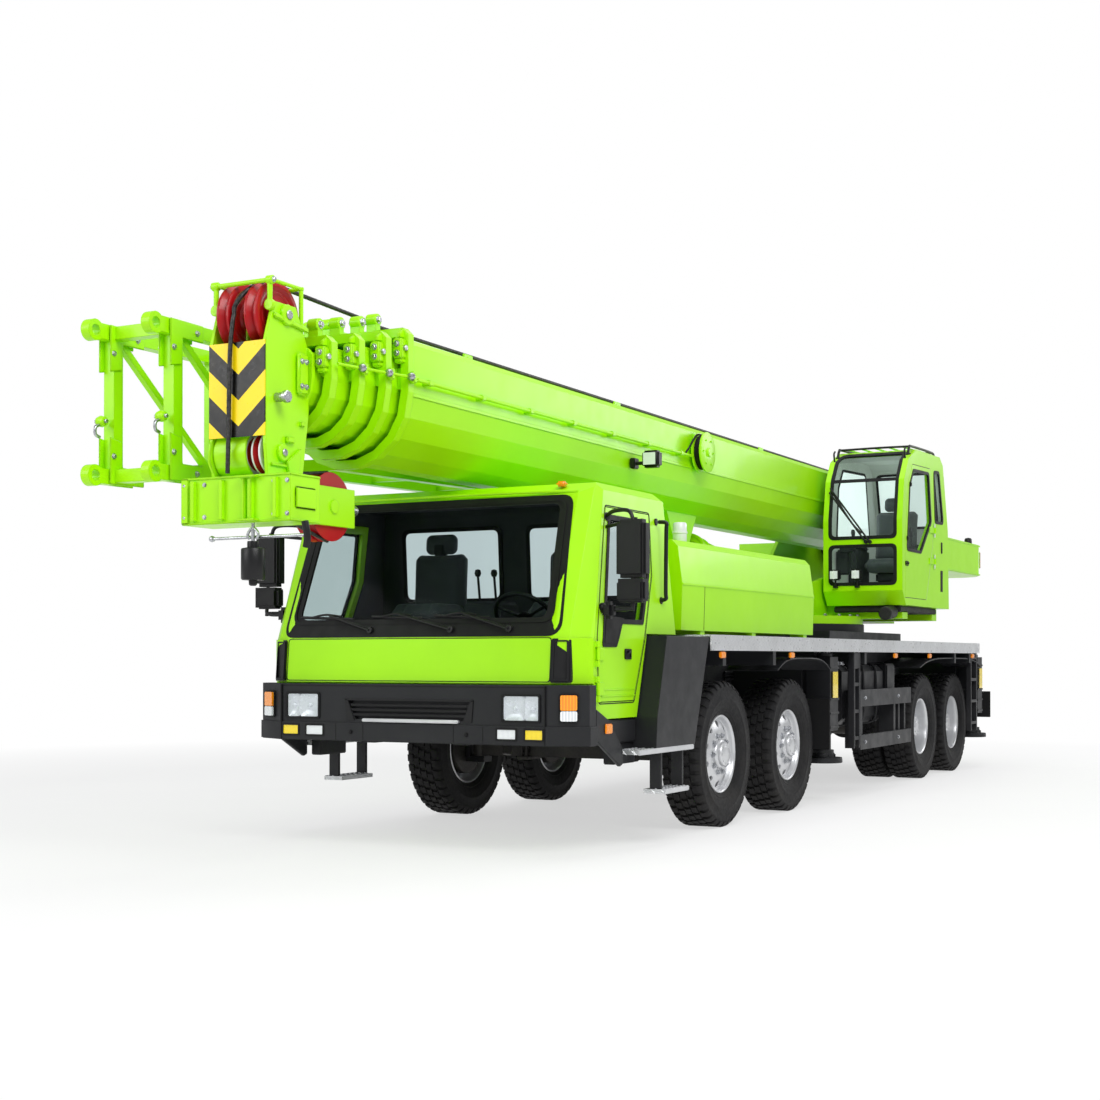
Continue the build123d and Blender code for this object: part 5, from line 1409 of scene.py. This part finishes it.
LINE_Y = 95
ROPE_ENDS = (3050, *(front - 40 for front in FRONTS[1:4]), 3760)
s = rope([(-7230, LINE_Y, 2744), (-6900, LINE_Y, 2980), (-6560, LINE_Y, 3216)], 1)
winch_rope = s.make("hoist_rope_winch", "superstructure", [ROPE], "steel")
winch_rope.parent = None
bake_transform(winch_rope)
s = rope([(-6560, LINE_Y, 3216), (-6400, LINE_Y, 3262), (-3000, LINE_Y, 3272), (2600, LINE_Y, 3280),
          (3050, LINE_Y, 3300)], 4)
s.make("hoist_rope_boom", "boom_base", [ROPE], "steel")
s = Shape()
for x in (-6400, -3600, -400, 1900):
    s.box(x - 60, x + 60, LINE_Y - 58, LINE_Y - 44, 3168, 3270, 5)
    s.box(x - 60, x + 60, LINE_Y + 44, LINE_Y + 58, 3168, 3270, 5)
    s.cyl((x, LINE_Y - 60, 3228), (x, LINE_Y + 60, 3228), 28, 20)
s.make("rope_guides", "boom_base", [GREEN], "green_paint")
for k in range(4):
    ends = [(x, LINE_Y, sheave_line(x)) for x in ROPE_ENDS[k:k + 2]]
    s = rope(ends, 1)
    run = s.make(f"hoist_rope_run_{k + 1}", BOOM_BODIES[k], [ROPE], "steel")
    run.parent = None
    V(*ends[0])
    V(*ends[1])
    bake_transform(run)
arc = []
for i in range(9):
    a = math.radians(90 - i * 11.5)
    arc.append((SHEAVE_X + 186 * math.cos(a), LINE_Y - 115 * min(1, i / 7), SHEAVE_Z + 186 * math.sin(a)))
s = rope([(3760, LINE_Y, sheave_line(3760)), *arc, (4147, -24, 3080), (4160, -30, 2900), (4160, -38, 2500),
          (4158, -46, 2262)], 4)
s.make("hoist_rope_head", "boom_tip", [ROPE], "steel")
s = Shape()
for line in ([(3990, 70, 2262), (3700, 40, 2300), (3340, 38, 2345)],
             [(3990, -110, 2262), (3700, -60, 2290), (3340, -38, 2345)],
             [(3340, 38, 1936), (3600, 40, 2000), (3880, 60, 2080)]):
    s.tube(line, 11, 16, 1, 6, 120)
s.make("hook_ropes", "boom_tip", [ROPE], "steel")

# Boom head: stripes, sheave covers, guards, weight
s = Shape()
s.box(4131, 4138, -194, 194, 2462, 2986, 1.5)
s.make("head_stripe_plate", "boom_tip", [STRIPES], "black_panel")
s = Shape()
for side in (-1, 1):
    for x, z, r in ((SHEAVE_X, SHEAVE_Z, 58), (LOW_X, LOW_Z, 48)):
        s.mat = 0
        s.cyl((x, side * 192, z), (x, side * 216, z), r, 30, 5)
        s.mat = 1
        s.cyl((x, side * 214, z), (x, side * 226, z), r * 0.45, 24, 4)
    s.mat = 0
    y = side * 186
    s.cyl((4085, y, 3180), (4085, y, 3338), 15, 16)
    s.cyl((3800, y, 3080), (3800, y, 3334), 13, 16)
    s.cyl((4085, y - side * 18, 3322), (4085, y + side * 26, 3322), 24, 20, 4)
    s.cyl((4070, y, 3186), (4100, y, 3186), 32, 20, 4)
    s.cyl((4085, y, 3326), (3800, y, 3326), 11, 14)
    s.mat = 1
    s.bolt((4085, side * 212, 3322), (0, side, 0), 12)
s.mat = 0
s.cyl((4085, -200, 3322), (4085, 200, 3322), 13, 16)
s.cyl((3800, -200, 3326), (3800, 200, 3326), 11, 16)
s.box(3880, 4050, -6, 6, 3010, 3180, 3)
s.make("head_sheave_guard", "boom_tip", [GREEN, STEEL], "green_paint")
s = Shape()
FACE = ((46, 40), (66, 52), (82, 52), (92, 38), (118, 37.5), (124, 42), (132, 42), (138, 37.5), (156, 38), (166, 46),
        (188, 46), (197, 40), (197, 30), (46, 30))
LOW_FACE = ((96, 31), (122, 31), (124, 27), (124, 20), (96, 20))
for y in (-95, 95):
    for sign in (-1, 1):
        s.lathe([(r, sign * d) for r, d in FACE], (SHEAVE_X, y, SHEAVE_Z), (0, 1, 0), 48, True)
s.mat = 1
for y in (-110, 0, 110):
    for sign in (-1, 1):
        s.lathe([(r, sign * d) for r, d in LOW_FACE], (LOW_X, y, LOW_Z), (0, 1, 0), 40, True)
s.make("sheave_faces", "boom_tip", [RED, WHITE], "red_sheave")
s = Shape()
turns = [math.radians(-60 + i * 15) for i in range(15)]
cover = [(140, a) for a in turns] + [(128, a) for a in reversed(turns)]
s.plate([(LOW_X + r * math.cos(a), LOW_Z + r * math.sin(a)) for r, a in cover], -170, 52, 2)
s.plate([(4100, 2250), (4150, 2330), (4140, 2440), (4090, 2480), (4060, 2440), (4062, 2250)], -196, -176, 4)
s.plate([(3850, 2245), (3935, 2245), (3960, 2330), (3830, 2420)], 194, 214, 4)
s.box(3856, 4136, -394, 366, 2236, 2252, 5)
s.box(3856, 4136, -394, 366, 1988, 2004, 5)
s.box(4128, 4140, -392, -340, 1996, 2246, 4)
s.box(3900, 4090, 356, 372, 2060, 2180, 8)
for y in (60, 110):
    s.box(4126, 4160, y - 7, y + 7, 2000, 2240, 3)
s.box(4120, 4178, 20, 150, 2232, 2246, 4)
s.box(4120, 4178, 20, 150, 1994, 2008, 4)
# Bracket and rollers on the head's left cheek
s.box(3770, 3868, 194, 224, 2720, 2960, 14, 3)
s.box(3880, 4090, 194, 206, 2300, 2318, 4)
s.plate([(3760, 3080), (4070, 3120), (4070, 3148), (3760, 3110)], 194, 212, 5)
s.box(3890, 3960, 194, 216, 2440, 2476, 5)
for side in (-1, 1):
    for z in (2560, 2900):
        s.box(3790, 3830, side * 182 - 30, side * 182 + 30, z - 14, z + 14, 4)
s.mat = 1
for x, z in ((3800, 2910), (3840, 2910), (3800, 2770), (3840, 2770)):
    s.bolt((x, 223, z), (0, 1, 0), 12)
s.cyl((4040, 194, 2680), (4040, 268, 2680), 26, 24, 5)
s.cyl((4040, 250, 2680), (4040, 282, 2680), 34, 24, 5)
for y in (-370, -230, 250, 340):
    for z in (2030, 2210):
        s.bolt((4130, y, z), (1, 0, 0), 10)
s.make("head_brackets", "boom_tip", [GREEN, STEEL], "green_paint")
s = Shape()
s.lathe([(0, 0), (30, 0), (32, 8), (32, 34), (62, 40), (66, 46), (66, 206), (60, 214), (24, 216), (22, 240),
         (14, 246), (0, 246)], (4100, 85, 1888), (0, 0, -1), 40)
s.mat = 1
s.cyl((4100, 85, 1880), (4100, 85, 1990), 10, 14)
s.tube([(4100, 60, 1900), (4100, 50, 1930), (4100, 85, 1962), (4100, 120, 1930), (4100, 110, 1900)], 8, 10)
s.cyl((4112, -180, 1908), (4050, 420, 1916), 9, 14)
s.lathe([(0, -18), (14, -12), (18, 0), (14, 12), (0, 18)], (4113, -190, 1908), (0, 1, 0), 18)
s.mat = 0
s.tube([(4052, 400, 1990), (4050, 410, 1940), (4046, 412, 1890), (4040, 400, 1850)], 20, 14)
s.make("head_weight", "boom_tip", [BLACK, STEEL], "black_panel")

# Stowed jib: gussets, pins and clips
GUSSET = ((4086, -44), (3800, -40), (3800, 60), (3980, 60), (3986, 210), (4086, 230))
s = Shape()
for y in (-560, -1010):
    for z, tilt in ((3140, -1), (2300, 1)):
        s.mat = 0
        for low in (y - 48, y + 36):
            s.plate([(x, z + tilt * rise) for x, rise in GUSSET], low, low + 12, 4)
        s.mat = 1
        s.bolt((4060, y - 48, z + tilt * 120), (0, -1, 0), 13)
        s.bolt((4060, y + 48, z + tilt * 120), (0, 1, 0), 13)
        s.bolt((3860, y + 48, z + tilt * 12), (0, 1, 0), 13)
    s.mat = 0
    s.lathe([(0, -30), (26, -26), (34, 0), (26, 26), (0, 30)], (4110, y, 2620), (0, 1, 0), 22)
    s.mat = 1
    s.cyl((4112, y - 46, 2620), (4112, y + 46, 2620), 12, 16)
    s.tube([(4126, y, 2600), (4160, y, 2580), (4160, y, 2540), (4126, y, 2526)], 10, 10)
for x in (900, -2600):
    z = 3140 - max(0, (2420 - x) / 6420) * 120
    s.mat = 0
    s.box(x - 74, x + 74, -606, -500, z - 54, z - 34, 5)
    s.box(x - 74, x + 74, -606, -500, z + 34, z + 54, 5)
    s.mat = 1
    for dx in (-50, 50):
        s.cyl((x + dx, -612, z - 62), (x + dx, -612, z + 66), 10, 12)
s.make("jib_fittings", "boom_base", [GREEN, STEEL], "green_paint")

# Winch drums: rope wound in turns, covers
DRUMS = (-7230, -7760)
LAYS = 21
s = Shape()
for x in DRUMS:
    for i in range(LAYS):
        y = -286 + i * 572 / (LAYS - 1)
        s.lathe([(160, -13), (176, -12), (184, -5), (184, 5), (176, 12), (160, 13)], (x, y, 2560), (0, 1, 0), 40)
s.make("winch_rope_turns", "superstructure", [ROPE], "steel")
s = Shape()
for x in DRUMS:
    for side in (-1, 1):
        s.lathe([(0, 0), (70, 0), (84, 8), (84, 30), (60, 44), (0, 46)], (x, side * 469, 2760), (0, side, 0), 30)
        for dx, dz in around(8, 60):
            s.bolt((x + dx, side * 505, 2760 + dz), (0, side, 0), 8, False)
s.make("winch_covers", "superstructure", [IRON], "dark_frame")

# Counterweight: lifting eyes, reflectors, beacon
s = Shape()
for side in (-1, 1):
    s.mat = 0
    s.box(-6500, -6478, *span(side, 520, 1180), 2230, 2530, 6)
    s.tube([(-7300, side * 900, 2556), (-7300, side * 900, 2610), (-7240, side * 900, 2640),
            (-7180, side * 900, 2610), (-7180, side * 900, 2556)], 16, 12)
    for z in (2206, 2538):
        s.plate(rect(-8000, -6490, z, z + 16), *span(side, 1198, 1206), 2)
    # Red reflectors: their lens finish glows faintly, painted light.
    s.mat = 1
    s.box(-8312, -8298, *span(side, 640, 860), 2250, 2510, 6)
    s.box(-8004, -7968, *span(side, 1198, 1208), 2290, 2480, 5)
    s.mat = 2
    s.lathe([(0, 0), (52, 0), (52, 16), (44, 20), (42, 66), (34, 82), (0, 90)], (-7900, side * 1090, 2558), (0, 0, 1),
            28)
s.make("counterweight_fittings", "superstructure", [GREEN, RED_LENS, BLACK], "green_paint")

# Turntable: valve blocks, pipes, ring bolts and the cheeks' fittings
s = Shape()
for i in range(9):
    x = -4100 - i * 90
    s.tube([(x, -300, 1690), (x - 60, -120, 1730), (x - 160, 60, 1730), (x - 300, 260, 1700)], 15, 10)
s.box(-4350, -3960, -330, 330, 1684, 1800, 12)
for i in range(6):
    s.cyl((-3955, -260 + i * 104, 1740), (-3900, -260 + i * 104, 1740), 24, 18, 4)
s.box(-5900, -4560, 560, 1240, 1700, 1762, 10)
s.cyl((-4560, 1150, 1700), (-4330, 1150, 1680), 66, 26, 8)
s.make("turntable_valves", "superstructure", [IRON], "dark_frame")
s = Shape()
SLEW_X = -4600
for x, y in around(28, 790):
    s.bolt((SLEW_X + x, y, 1660), (0, 0, 1), 18)
s.make("slew_ring_bolts", "superstructure", [STEEL], "steel")
PIN_X, PIN_Z = -6500, 2850
for name, side in SIDES:
    s = Shape()
    cheek = side * 471
    s.mat = 0
    s.lathe([(0, 0), (118, 0), (124, 6), (124, 16), (104, 24), (90, 24), (86, 40), (0, 42)], (PIN_X, cheek, PIN_Z),
            (0, side, 0), 40)
    s.plate([(-6100, 2480), (-5600, 2060), (-5000, 1900), (-5000, 1840), (-5640, 1980), (-6160, 2420)],
            *sorted((cheek, cheek + side * 26)), 5)
    s.mat = 1
    for x, z in around(6, 104):
        s.bolt((PIN_X + x, cheek + side * 16, PIN_Z + z), (0, side, 0), 10)
    s.make(f"cheek_fittings_{name}", "superstructure", [GREEN, STEEL], "green_paint")

# Luffing cylinder gland and clamps
foot, eye = Vector((-5200, 0, 1840)), Vector((-1600, 0, 2265))
unit = (eye - foot).normalized()
s = Shape()
for d, r, w in ((3030, 156, 60), (2880, 150, 30), (1500, 148, 40), (500, 150, 50)):
    s.lathe([(138, -w / 2), (r, -w / 2), (r + 4, -w / 2 + 4), (r + 4, w / 2 - 4), (r, w / 2), (138, w / 2)],
            tuple(foot + unit * d), tuple(unit), 40, True)
a, b = foot + unit * 480 + Vector((0, 0, -158)), foot + unit * 2880 + Vector((0, 0, -158))
s.cyl(tuple(a), tuple(b), 16, 14)
s.make("luff_clamps", "luff_barrel", [GREEN], "green_paint")

# Chassis: side boxes, brackets, hydraulic pipes, mudguards and flaps
for name, side in SIDES:
    s = Shape()
    s.mat = 0
    for x0, x1, z0, z1 in ((-4560, -4290, 700, 1190), (-2700, -2190, 1258, 1290)):
        s.box(x0, x1, *span(side, 700, 1180), z0, z1, 14)
    for x in (-4000, -3600, -3200):
        s.tube([(x, side * 470, 1186), (x, side * 800, 1188), (x, side * 1080, 1188), (x, side * 1148, 1130),
                (x, side * 1158, 900), (x, side * 1150, 700), (x, side * 1080, 634), (x, side * 800, 632)], 14, 8, 3)
    for x in (-4500, -4300):
        s.box(x - 24, x + 24, *span(side, 1150, 1296), 430, 950, 5)
    s.box(-2910, -2720, *span(side, 1296, 1344), 1150, 1300, 6)
    for x in (-2890, -2740):
        s.box(x - 18, x + 18, *span(side, 1288, 1346), 460, 1290, 5)
    s.mat = 1
    for x in (-4150, -3100):
        for z in (490, 885):
            s.bolt((x, side * 1330, z), (0, side, 0), 13)
    s.cyl((-3020, side * 1100, 1180), (-3020, side * 1100, 1216), 60, 28, 6)
    s.mat = 0
    for z in (1120, 1090, 1060):
        s.tube([(-2000, side * 414, z), (-4600, side * 416, z), (-7200, side * 414, z)], 11, 8, 1)
    # Mudguards over the second axle and the bogie
    for x0, reach in ((-1450, 640), (-6195, 1290)):
        bends = [-1 + 2 * i / 14 for i in range(15)]
        arc = [(x0 + reach * t, 1248 - 95 * abs(t) ** 4) for t in bends]
        under = [(x, z - 10) for x, z in reversed(arc)]
        s.plate(arc + under, *span(side, 905, 1340), 2)
    s.make(f"chassis_boxes_{name}", "carrier", [DARK, STEEL], "dark_frame")
    s = Shape()
    y0, y1 = span(side, 1010, 1336)
    s.prism([V(-7935, y, z) for y, z in rect(y0, y1, 560, 860)], Vector((0.012, 0, 0)), 3)
    s.prism([V(-2085, y, z) for y, z in rect(y0, y1, 470, 900)], Vector((0.012, 0, 0)), 3)
    s.make(f"mud_flaps_{name}", "carrier", [SEAL], "black_panel")

# Tail: plate holder and reflector
s = Shape()
s.box(-8010, -7992, -330, 330, 880, 1120, 8)
s.box(-8024, -8008, -260, 260, 905, 1015, 6)
s.make("tail_plate", "carrier", [DARK], "dark_frame")
s = Shape()
# The reflector's lens finish glows faintly: painted light.
s.box(-8034, -8008, -250, 250, 1040, 1100, 6)
s.make("tail_reflector", "carrier", [RED_LENS], "lamp")

# Outrigger housings: sleeves' stiffeners, jack heads, pads
LEG_Y, LEG_SHIFT = 1185, 122
for place, leg in (("front", -2450), ("rear", -7720)):
    for name, side in SIDES:
        x = leg + side * LEG_SHIFT
        beam = f"outrigger_beam_{place}_{name}"
        s = Shape()
        y = side * LEG_Y
        for z in (640, 760, 880, 1150):
            s.box(x - 116, x + 116, y - 116, y + 116, z, z + 22, 4)
        s.cyl((x, y, 1250), (x, y, 1288), 84, 30, 8)
        s.mat = 1
        for dx, dy in around(6, 64):
            s.bolt((x + dx, y + dy, 1287), (0, 0, 1), 8, False)
        # Yellow plates: their lens finish glows faintly, painted light.
        s.mat = 2
        s.box(x - 70, x + 70, *span(side, 1299, 1306), 900, 1130, 3)
        s.make(f"jack_sleeve_{place}_{name}", beam, [DARK, STEEL, YELLOW], "dark_frame")
        s = Shape()
        s.lathe([(80, 90), (104, 84), (110, 60), (110, 50), (150, 44), (172, 34), (174, 4), (168, 1), (80, 1)],
                (x, y, 345), (0, 0, 1), 40, True)
        for dx, dy in around(8, 100):
            s.plate(rect(x + dx - 4, x + dx + 4, 385, 420), y + dy - 20, y + dy + 20, 2)
        s.make(f"jack_foot_{place}_{name}", f"outrigger_jack_{place}_{name}", [DARK], "dark_frame")

# Axle ends, spring clips, shock absorbers
s = Shape()
for _, axle in AXLES[:2]:
    for side in (-1, 1):
        for dx in (-90, 90):
            for y in (400, 440):
                s.cyl((axle + dx, side * y, 470), (axle + dx, side * y, 700), 11, 10)
        s.box(axle - 120, axle + 120, side * 420 - 50, side * 420 + 50, 455, 480, 6)
        s.cyl((axle + 260, side * 480, 500), (axle + 160, side * 480, 900), 36, 18, 6)
        for leaf in range(5):
            half, low = 112 - 19 * leaf, 566 - 16 * leaf
            s.box(axle - half, axle + half, side * 420 - 36, side * 420 + 36, low - 8, low + 6, 2)
    s.cyl((axle - 170, -760, 520), (axle - 170, 760, 520), 24, 16)
s.make("axle_clips", "carrier", [IRON], "dark_frame")

# Camera, floor and light
scene = bpy.context.scene
camera = bpy.data.cameras.new("camera")
camera.lens = 53.89
camera.sensor_width = 36.0
camera.shift_y = 0.0856
camera.clip_end = 200.0
eye_obj = bpy.data.objects.new("camera", camera)
scene.collection.objects.link(eye_obj)
turn, pitch = math.radians(27.93), math.radians(0.482)
ahead = Vector((-math.cos(turn) * math.cos(pitch), -math.sin(turn) * math.cos(pitch), math.sin(pitch)))
eye_obj.location = (13.3599, 5.7699, 1.2452)
eye_obj.rotation_euler = ahead.to_track_quat("-Z", "Y").to_euler()
scene.camera = eye_obj

n = Nodes("studio_floor")
distance = n.add("VectorMath", operation="LENGTH")
n.feed(distance.inputs[0], n.add("TexCoord").outputs["Object"])
far = n.ramp(distance.outputs["Value"], 0.6, 1.0, 6.5, 12.0)
tone = n.mix(n.ramp(n.noise(0.6, 3.0), 0.0, 1.0, 0.4, 0.6), (0.93, 0.93, 0.93, 1.0), (0.915, 0.915, 0.918, 1.0))
ground = n.put(n.add("BsdfPrincipled"), Base_Color=tone, Roughness=n.ramp(n.noise(3.0), 0.5, 0.6))
white = n.put(n.add("Emission"), Color=(1.0, 1.0, 1.0, 1.0), Strength=1.0)
path = n.add("LightPath").outputs
mirrored = n.math("MAXIMUM", path["Is Glossy Ray"], path["Is Transmission Ray"])
seen = n.math("MULTIPLY", n.math("MAXIMUM", path["Is Camera Ray"], mirrored), far)
floor_mat = n.close(n.blend(seen, ground.outputs["BSDF"], white.outputs["Emission"]))
bm = bmesh.new()
bmesh.ops.create_grid(bm, x_segments=8, y_segments=8, size=60.0)
floor_mesh = bpy.data.meshes.new("studio_floor")
bm.to_mesh(floor_mesh)
bm.free()
floor_mesh.materials.append(floor_mat)
floor = bpy.data.objects.new("studio_floor", floor_mesh)
scene.collection.objects.link(floor)

n = Nodes("studio", bpy.data.worlds, "OutputWorld")
path = n.add("LightPath").outputs
show = n.put(n.add("Background"), Color=(1, 1, 1, 1), Strength=1.0)
soft = n.put(n.add("Background"), Color=(0.97, 0.985, 1.0, 1), Strength=0.42)
seen = n.math("MAXIMUM", path["Is Camera Ray"], path["Is Transmission Ray"])
scene.world = n.close(n.blend(seen, soft.outputs[0], show.outputs[0]))


def area(name, where, look, size, power):
    light = bpy.data.lights.new(name, "AREA")
    light.shape = "RECTANGLE"
    light.size, light.size_y = size
    light.energy = power
    lamp = bpy.data.objects.new(name, light)
    scene.collection.objects.link(lamp)
    lamp.location = where
    lamp.rotation_euler = (Vector(look) - Vector(where)).to_track_quat("-Z", "Y").to_euler()


area("key", (9.0, 7.5, 9.5), (0.5, 0, 1.5), (7.0, 5.0), 900)
area("fill", (13.0, -5.0, 6.0), (1.5, 0, 1.6), (6.0, 5.0), 380)
area("top", (-1.0, 1.0, 12.0), (-1.0, 0, 0), (14.0, 7.0), 640)
area("back", (-10.0, 6.0, 6.0), (-3.0, 0, 2.0), (6.0, 4.0), 280)

scene.view_settings.view_transform = "Standard"
